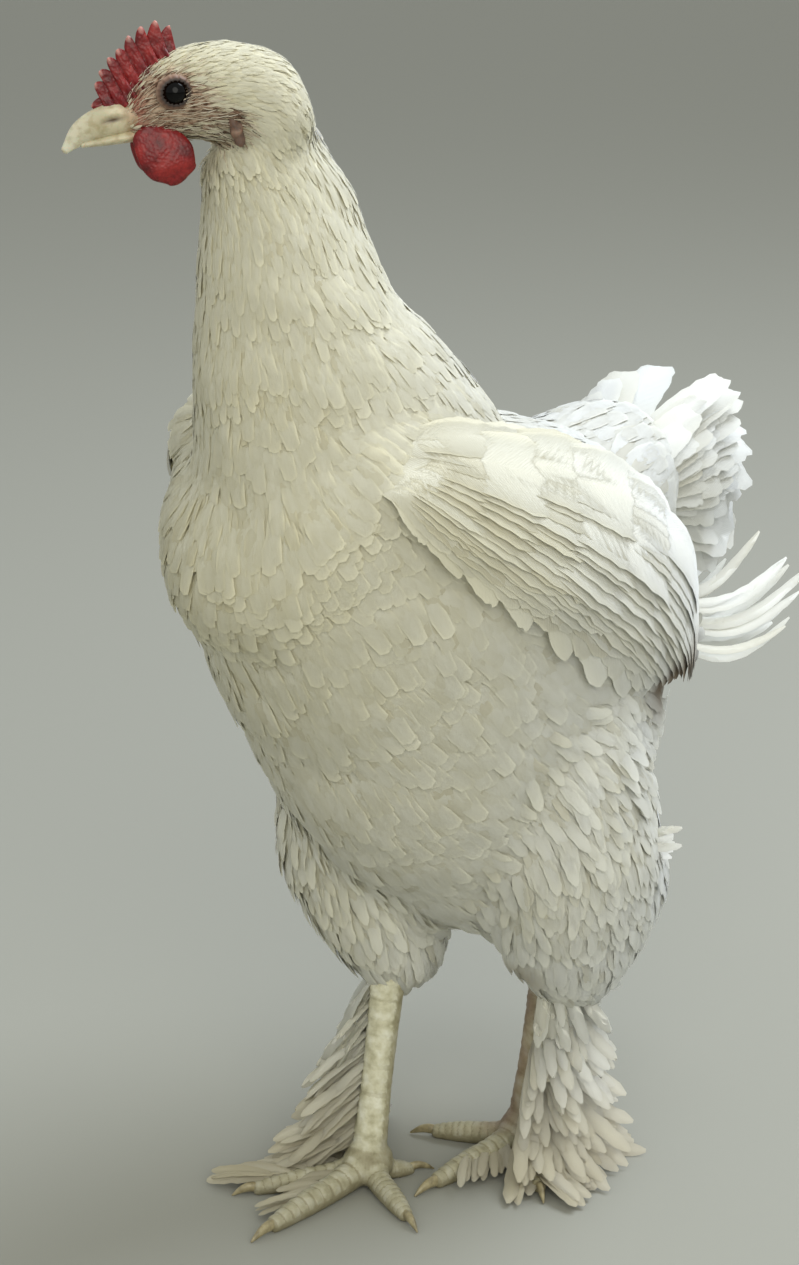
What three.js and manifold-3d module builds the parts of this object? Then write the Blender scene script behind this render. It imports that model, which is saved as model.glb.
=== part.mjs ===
// A young white Brahma chicken, life size, pausing in mid-stride with its head turned to its right.
// Millimetres, +Z up. The bird faces -Y and its left side is +X.
import * as THREE from "three";
import { mergeVertices } from "three/addons/utils/BufferGeometryUtils.js";
import Module from "manifold-3d";

const wasm = await Module();
wasm.setup();

// Driving dimensions
const GAP = 0.35; // clearance left between neighbouring pieces
const BODY_WIDTH = 184; // across the folded wings' seat
const HEAD_TURN = 35; // degrees that the head is turned to the bird's right
const HEAD_DROP = 12; // degrees that the bill points below level
const SKULL = new THREE.Vector3(-22, -121, 567); // middle of the skull
const EYE_RADIUS = 6.4;
const SHANK_RADIUS = 8.2;
const PAD = { width: 12.5, length: 14, height: 13 }; // the pad where the toes meet
const STRIDE = 83; // how far the left foot stands behind the right one
const FEET_APART = 36; // between the middle lines of the two feet

const radians = (degrees) => (degrees * Math.PI) / 180;
const point = (x, y, z) => new THREE.Vector3(x, y, z);

// Closed meshes to solids and back

function solidOf(geometry) {
  const bare = new THREE.BufferGeometry();
  bare.setAttribute("position", geometry.getAttribute("position"));
  bare.setIndex(geometry.index);
  const merged = mergeVertices(bare, 1e-4);
  const made = new wasm.Manifold(
    new wasm.Mesh({
      numProp: 3,
      vertProperties: new Float32Array(merged.attributes.position.array),
      triVerts: new Uint32Array(merged.index.array),
    }),
  );
  return made;
}

function geometryOf(solid) {
  const mesh = solid.getMesh();
  const places = new Float32Array(mesh.numVert * 3);
  for (let i = 0; i < mesh.numVert; i++) {
    places.set(mesh.vertProperties.subarray(i * mesh.numProp, i * mesh.numProp + 3), i * 3);
  }
  const geometry = new THREE.BufferGeometry();
  geometry.setAttribute("position", new THREE.BufferAttribute(places, 3));
  geometry.setIndex(new THREE.BufferAttribute(mesh.triVerts, 1));
  return geometry;
}

// The largest closed surface of a solid: a cut can leave loose scraps behind.
function largest(solid) {
  const pieces = solid.decompose();
  pieces.sort((a, b) => b.volume() - a.volume());
  return pieces[0];
}

// Every number of a list of stations at place t, on a smooth curve through them.
function stationAt(stations, t) {
  const last = stations.length - 1;
  let i = 0;
  while (i < last - 1 && t > stations[i + 1].at) i++;
  const a = stations[i];
  const b = stations[i + 1];
  const before = stations[Math.max(i - 1, 0)];
  const after = stations[Math.min(i + 2, last)];
  const span = b.at - a.at;
  const u = (t - a.at) / span;
  const value = {};
  for (const key of Object.keys(a)) {
    const slopeA = (b[key] - before[key]) / (b.at - before.at);
    const slopeB = (after[key] - a[key]) / (after.at - a.at);
    value[key] =
      (2 * u ** 3 - 3 * u ** 2 + 1) * a[key] +
      (u ** 3 - 2 * u ** 2 + u) * span * slopeA +
      (3 * u ** 2 - 2 * u ** 3) * b[key] +
      (u ** 3 - u ** 2) * span * slopeB;
  }
  return value;
}

// Stations spaced evenly from 0 to 1, from rows of [x, y, z, width, back, front].
function stationsFrom(rows) {
  return rows.map(([x, y, z, width, back, front], i) => ({
    at: i / (rows.length - 1),
    x,
    y,
    z,
    width,
    back,
    front,
  }));
}

// One oval ring of a form: its middle, its axes, and how far it reaches sideways, backwards (or up)
// and forwards (or down). Forms run from head to tail and from the top down.
function ringAt(form, t) {
  const here = stationAt(form.stations, t);
  const step = 0.01;
  const low = stationAt(form.stations, Math.max(t - step, 0));
  const high = stationAt(form.stations, Math.min(t + step, 1));
  const run = point(high.x - low.x, high.y - low.y, high.z - low.z).normalize();
  const side = form.side.clone().addScaledVector(run, -form.side.dot(run)).normalize();
  const back = new THREE.Vector3().crossVectors(side, run);
  return { middle: point(here.x, here.y, here.z), run, side, back, ...here };
}

// A point on a ring, at an angle from the side axis towards the back axis.
function pointOnRing(ring, angle, grow = 0, shrink = 1) {
  const reach = Math.sin(angle) >= 0 ? ring.back_reach : ring.front_reach;
  return ring.middle
    .clone()
    .addScaledVector(ring.side, Math.cos(angle) * (ring.width + grow) * shrink)
    .addScaledVector(ring.back, Math.sin(angle) * (reach + grow) * shrink);
}

// Degrees at which the dome on the end of a form has its rings
const LARGE_DOME = [72, 48, 24];
const SMALL_DOME = [45];

// A form is a closed tube through oval stations, with a dome on each end.
function form(rows, { steps, sides, domes, side = point(1, 0, 0), rings = LARGE_DOME }) {
  const stations = stationsFrom(rows).map(({ back, front, ...rest }) => ({
    ...rest,
    back_reach: back,
    front_reach: front,
  }));
  return { stations, steps, sides, domes, side, rings };
}

// The rings of a form from end to end, domes included, each with its share of full size.
function ringsOf(shape, grow) {
  const rings = [];
  const dome = (t, depth, way) =>
    shape.rings.map((degrees) => {
      const ring = ringAt(shape, t);
      const shift = way * (depth + grow) * Math.sin(radians(degrees));
      ring.middle.addScaledVector(ring.run, shift);
      return { ring, shrink: Math.cos(radians(degrees)) };
    });
  const pole = (t, depth, way) => {
    const ring = ringAt(shape, t);
    return ring.middle.clone().addScaledVector(ring.run, way * (depth + grow));
  };
  rings.push(...dome(0, shape.domes[0], -1));
  for (let i = 0; i <= shape.steps; i++) {
    rings.push({ ring: ringAt(shape, i / shape.steps), shrink: 1 });
  }
  rings.push(...dome(1, shape.domes[1], 1).reverse());
  return { rings, first: pole(0, shape.domes[0], -1), last: pole(1, shape.domes[1], 1) };
}

// The closed mesh of rows of points, with a point at each end.
function skinOver(rows, first, last) {
  const count = rows[0].length;
  const places = [first, ...rows.flat(), last];
  const index = [];
  const at = (row, i) => 1 + row * count + (i % count);
  for (let i = 0; i < count; i++) {
    index.push(0, at(0, i + 1), at(0, i));
    index.push(places.length - 1, at(rows.length - 1, i), at(rows.length - 1, i + 1));
  }
  for (let row = 0; row + 1 < rows.length; row++) {
    for (let i = 0; i < count; i++) {
      index.push(at(row, i), at(row, i + 1), at(row + 1, i + 1));
      index.push(at(row, i), at(row + 1, i + 1), at(row + 1, i));
    }
  }
  const geometry = new THREE.BufferGeometry().setFromPoints(places);
  geometry.setIndex(index);
  return facingOut(geometry);
}

// The same mesh with its faces pointing out.
function facingOut(geometry) {
  const solid = solidOf(geometry);
  if (solid.volume() > 0) return geometry;
  const index = geometry.index.array;
  for (let i = 0; i < index.length; i += 3) {
    [index[i + 1], index[i + 2]] = [index[i + 2], index[i + 1]];
  }
  return geometry;
}

function solidForm(shape, grow = 0) {
  const { rings, first, last } = ringsOf(shape, grow);
  const rows = rings.map(({ ring, shrink }) => {
    const row = [];
    for (let i = 0; i < shape.sides; i++) {
      row.push(pointOnRing(ring, (2 * Math.PI * i) / shape.sides, grow, shrink));
    }
    return row;
  });
  return solidOf(skinOver(rows, first, last));
}

// Small differences between like feathers, the same in every run
let seed = 20240607;
function varied(spread) {
  seed = (seed * 1664525 + 1013904223) % 4294967296;
  return 1 + spread * ((2 * seed) / 4294967296 - 1);
}

const VANE_THICKNESS = 0.8;
// A feather's width and thickness from its root to just before its tip, as shares of its full size
const VANE_SHAPE = [
  { share: 0, width: 0.4, thickness: 1.3 },
  { share: 0.45, width: 0.95, thickness: 1.1 },
  { share: 0.84, width: 0.88, thickness: 0.9 },
];

// A feather as a closed, thin, tapering blade. path(share) gives its middle line, facing(share) the
// way its flat side looks, and twist turns it a little about its length, so that it shingles.
function vaneSolid({ path, facing, width, twist = 0, thickness = VANE_THICKNESS }) {
  const rows = VANE_SHAPE.map((part) => {
    const middle = path(part.share);
    const run = path(part.share + 0.02).sub(path(part.share - 0.02)).normalize();
    const up = facing(part.share).clone();
    up.addScaledVector(run, -up.dot(run)).normalize().applyAxisAngle(run, twist);
    const side = new THREE.Vector3().crossVectors(run, up).multiplyScalar((part.width * width) / 2);
    up.multiplyScalar((part.thickness * thickness) / 2);
    const corner = (a, b) => middle.clone().addScaledVector(side, a).addScaledVector(up, b);
    return [corner(-1, 1), corner(1, 1), corner(1, -1), corner(-1, -1)];
  });
  const places = [...rows.flat(), path(1)];
  const tip = places.length - 1;
  const last = tip - 4;
  const index = [0, 1, 2, 0, 2, 3];
  // Both flat sides are split along the same diagonal, so that they can't cross where it curves
  for (let at = 0; at < last; at += 4) {
    const [a, b, c, d] = [at, at + 1, at + 2, at + 3];
    index.push(a, b + 4, b, a, a + 4, b + 4, d, c, c + 4, d, c + 4, d + 4);
    index.push(b, b + 4, c + 4, b, c + 4, c, d, d + 4, a + 4, d, a + 4, a);
  }
  for (let i = 0; i < 4; i++) index.push(last + i, tip, last + ((i + 1) % 4));
  const geometry = new THREE.BufferGeometry().setFromPoints(places);
  geometry.setIndex(index);
  return solidOf(facingOut(geometry));
}

// One closed body of a core and its feathers, all rooted in it
const fused = (core, vanes) => largest(vanes.reduce((whole, vane) => whole.add(vane), core));

const mix = (a, b, share) => a + (b - a) * share;

// A place on a form at t along it. across runs from -1 to 1 over its broad outer face, and lift is
// the height over that face. Past the end of the form the place runs on straight.
function onFace(shape, t, across, lift) {
  const inside = Math.min(Math.max(t, 0), 1);
  const ring = ringAt(shape, inside);
  const length = ringAt(shape, 1).middle.distanceTo(ringAt(shape, 0.9).middle) * 10;
  const rise = ring.back_reach * Math.sqrt(Math.max(1 - across * across, 0));
  return ring.middle
    .clone()
    .addScaledVector(ring.run, (t - inside) * length)
    .addScaledVector(ring.side, ring.width * across)
    .addScaledVector(ring.back, rise + lift);
}

const VANE_RISE = 1; // how much higher a laid feather ends than it runs
const ROOT_SHARE = 0.36; // how much of a laid feather's length it takes to come up out of the core
const FACE_ROUNDING = 0.15; // how much a feather near an edge leans over it

// A feather laid along a form's outer face from one place to another, its root sunk in
function laidVane(shape, { from, to, sink, lift, width, twist }) {
  const path = (share) => {
    const height = mix(-sink, lift, Math.min(1, share / ROOT_SHARE)) + share * VANE_RISE;
    return onFace(shape, mix(from[0], to[0], share), mix(from[1], to[1], share), height);
  };
  const facing = (share) => {
    const t = Math.min(Math.max(mix(from[0], to[0], share), 0), 1);
    const ring = ringAt(shape, t);
    const across = mix(from[1], to[1], share);
    return ring.back.clone().addScaledVector(ring.side, across * FACE_ROUNDING);
  };
  return vaneSolid({ path, facing, width, twist });
}

// Torso: deep and broad, its belly fluff hanging between the thighs

const half = BODY_WIDTH / 2;
const torsoForm = form(
  [
    // x, y, z, width, back, front
    [0, -98, 380, half * 0.72, 56, 66],
    [0, -44, 350, half * 0.95, 78, 106],
    [0, 22, 316, half * 0.98, 92, 152],
    [0, 84, 298, half * 0.86, 88, 168],
    [0, 138, 300, half * 0.5, 58, 88],
  ],
  { steps: 10, sides: 22, domes: [34, 22] },
);

// Neck, from the back of the skull down into the shoulders

const neckForm = form(
  [
    [-14, -101, 540, 25, 43, 20],
    [-11, -94, 516, 32, 48, 29],
    [-8, -87, 488, 40, 46, 41],
    [-5, -76, 458, 50, 49, 60],
    [0, -60, 426, 62, 56, 80],
    [0, -40, 390, 74, 66, 92],
    [0, -22, 356, 76, 52, 84],
  ],
  { steps: 9, sides: 18, domes: [12, 12] },
);

// Head frame: forward along the bill, to the bird's left, and up

const turn = radians(HEAD_TURN);
const drop = radians(HEAD_DROP);
const forward = point(
  -Math.sin(turn) * Math.cos(drop),
  -Math.cos(turn) * Math.cos(drop),
  -Math.sin(drop),
);
const leftward = point(Math.cos(turn), -Math.sin(turn), 0);
const upward = new THREE.Vector3().crossVectors(leftward, forward).negate();
const headPoint = (ahead, left, up) =>
  SKULL.clone()
    .addScaledVector(forward, ahead)
    .addScaledVector(leftward, left)
    .addScaledVector(upward, up);
const headWay = (ahead, up) => forward.clone().multiplyScalar(ahead).addScaledVector(upward, up);
const headRow = (ahead, left, up, ...reaches) => {
  const { x, y, z } = headPoint(ahead, left, up);
  return [x, y, z, ...reaches];
};

const headForm = form(
  [
    // ahead, left, up, width, top, bottom
    headRow(33, 0, -5, 8, 7, 9),
    headRow(22, 0, -1, 12.5, 15, 15),
    headRow(6, 0, 1, 16.5, 20.5, 20),
    headRow(-12, 0, -1, 19, 21.5, 24),
    headRow(-28, 0, -8, 21, 20, 26),
    headRow(-38, 0, -20, 22, 14, 26),
  ],
  { steps: 7, sides: 14, domes: [3, 10], side: leftward },
);

const beakUpperForm = form(
  [
    headRow(28, 0, -2, 8.6, 7.5, 7),
    headRow(42, 0, -2, 6.4, 7, 6.4),
    headRow(53, 0, -4, 3.8, 5.4, 4.4),
    headRow(61.5, 0, -9.6, 1.3, 1.2, 1.3),
  ],
  { steps: 5, sides: 10, domes: [2, 1], side: leftward, rings: SMALL_DOME },
);
const beakLowerForm = form(
  [
    headRow(27, 0, -10.6, 7.6, 3, 4),
    headRow(42, 0, -9.9, 5, 2.4, 2.8),
    headRow(54, 0, -9.4, 2.2, 1.2, 1.5),
  ],
  { steps: 4, sides: 10, domes: [2, 1], side: leftward, rings: SMALL_DOME },
);

const EYE_PLACE = { ahead: 11, left: 11.4, up: 5 };
function ball(middle, radii, axes, rounds, layers) {
  const sphere = new THREE.SphereGeometry(1, rounds, layers);
  const frame = new THREE.Matrix4().makeBasis(...axes).setPosition(middle);
  sphere.scale(...radii).applyMatrix4(frame);
  sphere.deleteAttribute("normal");
  sphere.deleteAttribute("uv");
  return solidOf(facingOut(mergeVertices(sphere, 1e-4)));
}
const headAxes = [forward, leftward, upward];
const eyeMiddle = (side) => headPoint(EYE_PLACE.ahead, side * EYE_PLACE.left, EYE_PLACE.up);
const eyeBall = (side, grow = 0) =>
  ball(eyeMiddle(side), Array(3).fill(EYE_RADIUS + grow), headAxes, 12, 8);

// A lid round each eye, as a ring on the face
const LID = { radius: 6.1, thickness: 1.3, left: 14.4 };
function lidRing(side) {
  const ring = new THREE.TorusGeometry(LID.radius, LID.thickness, 4, 11);
  const middle = headPoint(EYE_PLACE.ahead, side * LID.left, EYE_PLACE.up);
  ring.applyMatrix4(new THREE.Matrix4().makeBasis(forward, upward, leftward).setPosition(middle));
  ring.deleteAttribute("normal");
  ring.deleteAttribute("uv");
  return solidOf(facingOut(mergeVertices(ring, 1e-4)));
}

// The soft cover over each nostril, the slit under it, and the corner of the mouth behind the bill
const oval = (ahead, left, up, radii) => ball(headPoint(ahead, left, up), radii, headAxes, 8, 4);
const nostrilCover = (side) => oval(39, side * 4.4, 0.4, [5.5, 3, 3.2]);
const nostrilSlit = (side) => oval(39.5, side * 7.2, -2.4, [3.4, 1.8, 0.8]);
const mouthCorner = (side) => oval(26, side * 11, -8, [7, 4, 0.9]);

// Comb: a single upright blade with points along its top, in the plane of the head

const COMB_THICKNESS = 5;
const combOutline = new THREE.Shape();
const combBase = [point(12, 12, 0), point(24, 5, 0), point(36, -3, 0), point(44, -1, 0)];
const combTips = [
  [46.5, 5.5],
  [42.5, 15.5],
  [38, 21.5],
  [32.5, 26],
  [26, 30.4],
  [18, 34.4],
  [8.5, 34.6],
];
const COMB_NOTCH = 0.76; // how far out a notch reaches, as a share of its two neighbours
const combRoot = { ahead: 24, up: 4 };
combOutline.moveTo(combBase[3].x, combBase[3].y);
combTips.forEach(([ahead, up], i) => {
  combOutline.lineTo(ahead, up);
  const next = combTips[i + 1];
  if (next) {
    const between = [(ahead + next[0]) / 2, (up + next[1]) / 2];
    combOutline.lineTo(
      combRoot.ahead + (between[0] - combRoot.ahead) * COMB_NOTCH,
      combRoot.up + (between[1] - combRoot.up) * COMB_NOTCH,
    );
  }
});
combOutline.lineTo(5.2, 29);
combOutline.lineTo(9.5, 21.5);
combBase.slice(0, 3).forEach(({ x, y }) => combOutline.lineTo(x, y));
combOutline.closePath();

function combSolid() {
  const blade = new THREE.ExtrudeGeometry(combOutline, {
    depth: COMB_THICKNESS * 0.4,
    bevelEnabled: true,
    bevelThickness: COMB_THICKNESS * 0.3,
    bevelSize: 0.9,
    bevelOffset: -0.9,
    bevelSegments: 1,
    curveSegments: 4,
  });
  blade.translate(0, 0, -COMB_THICKNESS * 0.2);
  const frame = new THREE.Matrix4().makeBasis(forward, upward, leftward.clone().negate());
  blade.applyMatrix4(frame.setPosition(SKULL));
  blade.deleteAttribute("normal");
  blade.deleteAttribute("uv");
  return solidOf(facingOut(mergeVertices(blade, 1e-4)));
}

const wattleForm = (side) =>
  form(
    [
      // ahead, left, up, half length fore and aft, then half thickness out and in
      headRow(27, side * 8, -10, 7, 2.4, 2.4),
      headRow(23.5, side * 9.5, -16, 11, 3.2, 3.2),
      headRow(19, side * 10.5, -24, 11.6, 3.4, 3.4),
      headRow(16, side * 10, -30, 7.4, 2.6, 2.6),
    ],
    { steps: 6, sides: 10, domes: [3, 3], side: forward, rings: SMALL_DOME },
  );
const lobeForm = (side) =>
  form(
    [
      headRow(-10, side * 18.6, -10, 3.4, 2.4, 2.4),
      headRow(-11, side * 21, -16, 4.6, 3, 3),
      headRow(-11, side * 21.6, -21.5, 3.6, 2.6, 2.6),
    ],
    { steps: 3, sides: 8, domes: [1.5, 2], side: forward, rings: SMALL_DOME },
  );

// Wings, folded against the flanks. Rows are for the left wing; width is half the chord.

const wingRows = [
  [58, -88, 408, 25, 12, 16],
  [76, -52, 388, 36, 14, 20],
  [86, 0, 360, 43, 14, 22],
  [84, 52, 330, 45, 13, 20],
  [73, 98, 298, 36, 9, 12],
  [63, 126, 272, 16, 4, 5],
];
const ACROSS_WING = point(0.26, -0.59, -0.76); // from the upper edge of the wing to the lower
const wingForm = form(wingRows, { steps: 8, sides: 14, domes: [14, 8], side: ACROSS_WING });
// The flesh under the wing feathers, which is narrower and thinner than the whole wing
const WING_CORE = { width: 0.82, depths: [2, 1, 1, 2, 3, 2] };
const wingCoreForm = form(
  wingRows.map(([x, y, z, width, , front], i) => [
    x,
    y,
    z,
    width * WING_CORE.width,
    WING_CORE.depths[i],
    front,
  ]),
  { steps: 6, sides: 10, domes: [12, 2], side: ACROSS_WING, rings: SMALL_DOME },
);

const SHINGLE = radians(9); // how much each wing feather is turned about its length
const WING_SINK = 3; // how deep a wing feather's root lies under the core's surface
const WING_BOW = 0.16; // how far the tips in the middle of a tier reach past its two ends

// Tiers of wing feathers, from the flight feathers up to the small coverts. Each tier's roots and
// tips run from the lower edge of the wing to the upper one, as places [t, across] on it.
const WING_TIERS = [
  {
    count: 7,
    width: 26,
    lift: 2.2,
    roots: [[0.46, 0.42], [0.56, -0.5]],
    tips: [[0.7, 1.08], [1.12, -0.2]],
  },
  {
    count: 5,
    width: 26,
    lift: 6.2,
    roots: [[0.28, 0.56], [0.38, -0.62]],
    tips: [[0.54, 1], [0.82, -0.84]],
  },
  {
    count: 4,
    width: 26,
    lift: 10.4,
    roots: [[0.12, 0.56], [0.2, -0.6]],
    tips: [[0.38, 0.94], [0.6, -0.86]],
  },
  {
    count: 3,
    width: 27,
    lift: 13.6,
    roots: [[0.0, 0.4], [0.04, -0.45]],
    tips: [[0.24, 0.7], [0.38, -0.7]],
  },
];

function wingVanes() {
  return WING_TIERS.flatMap(({ count, roots, tips, width, lift }) =>
    Array.from({ length: count }, (_, i) => {
      const share = i / (count - 1);
      const bow = WING_BOW * Math.sin(Math.PI * share);
      return laidVane(wingCoreForm, {
        from: [mix(roots[0][0], roots[1][0], share), mix(roots[0][1], roots[1][1], share)],
        to: [mix(tips[0][0], tips[1][0], share) + bow, mix(tips[0][1], tips[1][1], share)],
        sink: WING_SINK,
        lift,
        width: width * varied(0.06),
        twist: -SHINGLE,
      });
    }),
  );
}

function mirrored(solid) {
  const geometry = geometryOf(solid);
  geometry.scale(-1, 1, 1);
  return solidOf(facingOut(geometry));
}

// Tail: a cushion over the rump, and a low fan whose two halves hang like a ridged roof
const tailForm = form(
  [
    [0, 104, 342, 58, 50, 52],
    [0, 134, 349, 50, 46, 60],
    [0, 158, 350, 36, 38, 48],
    [0, 180, 350, 22, 26, 34],
  ],
  { steps: 4, sides: 14, domes: [10, 12], rings: SMALL_DOME },
);
const TAIL_ROOT = point(0, 132, 345);
const TAIL_DROOP = 5; // how far a tail feather's tip hangs below its line
const TAIL_TIERS = [
  // feathers a side, from the ridge down: their slopes, how far they are rolled outwards, in degrees
  {
    count: 6, slopes: [34, -26], rolls: [20, 86],
    length: 100, width: 30, out: 5, flare: 12, layer: -0.4,
  },
  {
    count: 4, slopes: [42, -14], rolls: [22, 82],
    length: 78, width: 30, out: 10, flare: 15, layer: -0.6,
  },
  {
    count: 3, slopes: [48, -2], rolls: [24, 78],
    length: 60, width: 29, out: 15, flare: 19, layer: -0.6,
  },
];

function tailVanes() {
  const vanes = [];
  for (const way of [1, -1]) {
    for (const { count, slopes, rolls, length, width, out, flare, layer } of TAIL_TIERS) {
      for (let i = 0; i < count; i++) {
        const slope = radians(mix(slopes[0], slopes[1], i / (count - 1)));
        const spread = radians(flare);
        const roll = radians(mix(rolls[0], rolls[1], i / (count - 1)));
        const run = point(
          way * Math.sin(spread),
          Math.cos(spread) * Math.cos(slope),
          Math.cos(spread) * Math.sin(slope),
        );
        const root = TAIL_ROOT.clone().add(point(way * (out + layer * i), 0, 0));
        const reach = length * varied(0.04);
        const droop = TAIL_DROOP * varied(0.4);
        const path = (share) => {
          const straight = root.clone().addScaledVector(run, reach * share);
          return straight.add(point(0, 0, -droop * share * share));
        };
        vanes.push(
          vaneSolid({
            path,
            facing: () => point(way * Math.sin(roll), 0, Math.cos(roll)),
            width: width * varied(0.05),
          }),
        );
      }
    }
  }
  return vanes;
}

// Vent fluff: soft feathers that hang below the tail and curl up at their ends
const ventForm = form(
  [
    [4, 136, 290, 40, 34, 44],
    [7, 160, 282, 34, 26, 32],
    [12, 184, 274, 24, 14, 18],
  ],
  { steps: 4, sides: 12, domes: [12, 10], rings: SMALL_DOME },
);
// Curled feathers out of the fluff: sideways place of root and tip, then the tip's y and z
const CURLS = [
  { root: [-6, 286], tip: [2, 252, 292] },
  { root: [2, 280], tip: [26, 268, 282] },
  { root: [10, 274], tip: [30, 262, 262] },
  { root: [16, 280], tip: [50, 246, 284] },
  { root: [20, 270], tip: [58, 228, 268] },
  { root: [-8, 272], tip: [-22, 240, 262] },
  { root: [-16, 280], tip: [-42, 226, 276] },
];
const CURL = { rootY: 158, width: 12, sag: 14, twist: [-0.7, 0.8], lean: 0.5 };
function curlVanes() {
  return CURLS.map(({ root, tip }, i) => {
    const start = point(root[0], CURL.rootY, root[1]);
    const end = point(...tip);
    const path = (share) => {
      const hang = CURL.sag * Math.sin(Math.PI * Math.min(share, 1));
      return start.clone().lerp(end, share).add(point(0, 0, -hang));
    };
    return vaneSolid({
      path,
      facing: (share) => point(0, -CURL.lean * share, 1),
      width: CURL.width,
      twist: mix(...CURL.twist, i / (CURLS.length - 1)),
    });
  });
}

// Legs. Each leg has its own places because the bird is in mid-stride.

const LEGS = {
  right: {
    way: -1,
    thigh: [
      [-38, -14, 246, 32, 52, 42],
      [-41, -12, 204, 34, 52, 42],
      [-39, -4, 164, 38, 50, 38],
      [-32, 5, 132, 29, 46, 28],
      [-29, 14, 106, 21, 40, 18],
    ],
    hock: point(-26, 4, 112),
    joint: point(-FEET_APART / 2, 20 - STRIDE / 2, 0),
    toes: { inner: [68, 60], hind: [150, 36], outer: [-33, 72], middle: [1, 86] },
  },
  left: {
    way: 1,
    thigh: [
      [46, 36, 246, 42, 60, 46],
      [47, 44, 204, 44, 66, 48],
      [45, 54, 164, 43, 72, 44],
      [41, 66, 130, 36, 75, 36],
      [38, 78, 104, 25, 60, 24],
    ],
    hock: point(30, 66, 110),
    joint: point(FEET_APART / 2, 20 + STRIDE / 2, 0),
    toes: { inner: [-60, 62], hind: [200, 36], outer: [50, 62], middle: [-4, 80] },
  },
};

const thighForm = (leg) => form(leg.thigh, { steps: 7, sides: 16, domes: [20, 8] });

// Stiff feathers down the outer side of a shank, in tiers from the hock to the foot
const BOOT_TIERS = [
  // height up the shank, how far the feathers slope down in degrees, and their length
  { height: 102, slope: 62, length: 56, count: 3 },
  { height: 76, slope: 52, length: 60, count: 4 },
  { height: 54, slope: 38, length: 64, count: 4 },
  { height: 35, slope: 22, length: 66, count: 3 },
];
// Each tier is a fan, in degrees from straight outwards to the back, every second feather lower
const BOOT_FAN = { first: -52, last: 46, width: 16, drop: 10, root: 4, curl: 6, lean: 0.6 };

function bootVanes(leg) {
  const { hock, joint, way } = leg;
  return BOOT_TIERS.flatMap(({ height, slope, length, count }) =>
    Array.from({ length: count }, (_, i) => {
      const turned = radians(mix(BOOT_FAN.first, BOOT_FAN.last, i / (count - 1)));
      const fall = radians(slope * varied(0.06));
      const run = point(
        way * Math.cos(turned) * Math.cos(fall),
        Math.sin(turned) * Math.cos(fall),
        -Math.sin(fall),
      );
      const level = height - (i % 2) * BOOT_FAN.drop;
      const root = joint.clone().lerp(hock, level / hock.z).setZ(level);
      root.addScaledVector(run, BOOT_FAN.root);
      const reach = length * varied(0.08);
      const curl = BOOT_FAN.curl * varied(0.4);
      const path = (share) => {
        const straight = root.clone().addScaledVector(run, reach * share);
        return straight.add(point(0, 0, curl * share * share));
      };
      return vaneSolid({
        path,
        facing: () => point(run.x * BOOT_FAN.lean, run.y * BOOT_FAN.lean, 1),
        width: BOOT_FAN.width * varied(0.08),
      });
    }),
  );
}

// Feathers along the outer side of the two outer toes, lying close over the floor
const TOE_VANE = { above: 2, fall: 4.5, twist: 0.16 };
const TOE_FANS = {
  outer: { count: 5, from: 0.16, to: 0.72, length: 34, width: 13, swing: [62, 33] },
  middle: { count: 3, from: 0.25, to: 0.6, length: 24, width: 10, swing: [50, 36] },
};
function toeVanes(leg, name) {
  const fan = TOE_FANS[name];
  const [bearing, length] = leg.toes[name];
  const toe = length - CLAW_LENGTH[name];
  return Array.from({ length: fan.count }, (_, i) => {
    const share = i / (fan.count - 1);
    const along = directionOf(bearing);
    const run = directionOf(bearing + leg.way * mix(fan.swing[0], fan.swing[1], share));
    const root = leg.joint.clone().addScaledVector(along, toe * mix(fan.from, fan.to, share));
    root.z = TOE_RADIUS[name] + TOE_VANE.above;
    const reach = fan.length * varied(0.1);
    const path = (at) => {
      const level = root.clone().addScaledVector(run, reach * at);
      return level.add(point(0, 0, -TOE_VANE.fall * at));
    };
    return vaneSolid({
      path,
      facing: () => point(0, 0, 1),
      width: fan.width * varied(0.08),
      twist: leg.way * TOE_VANE.twist,
    });
  });
}

const shankForm = (leg) => {
  const { hock, joint } = leg;
  const foot = joint.clone().setZ(PAD.height - 2);
  const part = (share, wide, deep) => {
    const { x, y, z } = hock.clone().lerp(foot, share);
    return [x, y, z, wide, deep, deep];
  };
  const r = SHANK_RADIUS;
  const rows = [
    part(0, r * 1.15, r * 1.3),
    part(0.2, r, r * 1.1),
    part(0.6, r * 0.95, r),
    part(1, r * 1.15, r * 1.1),
  ];
  return form(rows, { steps: 5, sides: 12, domes: [4, 2], rings: SMALL_DOME });
};

const padBall = (leg, grow = 0) =>
  ball(
    leg.joint.clone().setZ(PAD.height - 2),
    [PAD.width + grow, PAD.length + grow, PAD.height + grow],
    [point(1, 0, 0), point(0, 1, 0), point(0, 0, 1)],
    12,
    8,
  );

// Everything below the floor, cut off the feet so that they stand on small flats
const underFloor = (() => {
  const slab = new THREE.BoxGeometry(900, 900, 100).translate(0, 0, -50);
  slab.deleteAttribute("normal");
  slab.deleteAttribute("uv");
  return solidOf(mergeVertices(slab, 1e-4));
})();

const TOE_RADIUS = { inner: 6.4, middle: 7.2, outer: 6.4, hind: 5.4 };
const CLAW_LENGTH = { inner: 13, middle: 15, outer: 12, hind: 12 };
const SOLE_SINK = 0.8; // how deep the toe pads are pressed flat

const directionOf = (bearing) => point(Math.sin(radians(bearing)), -Math.cos(radians(bearing)), 0);

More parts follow.
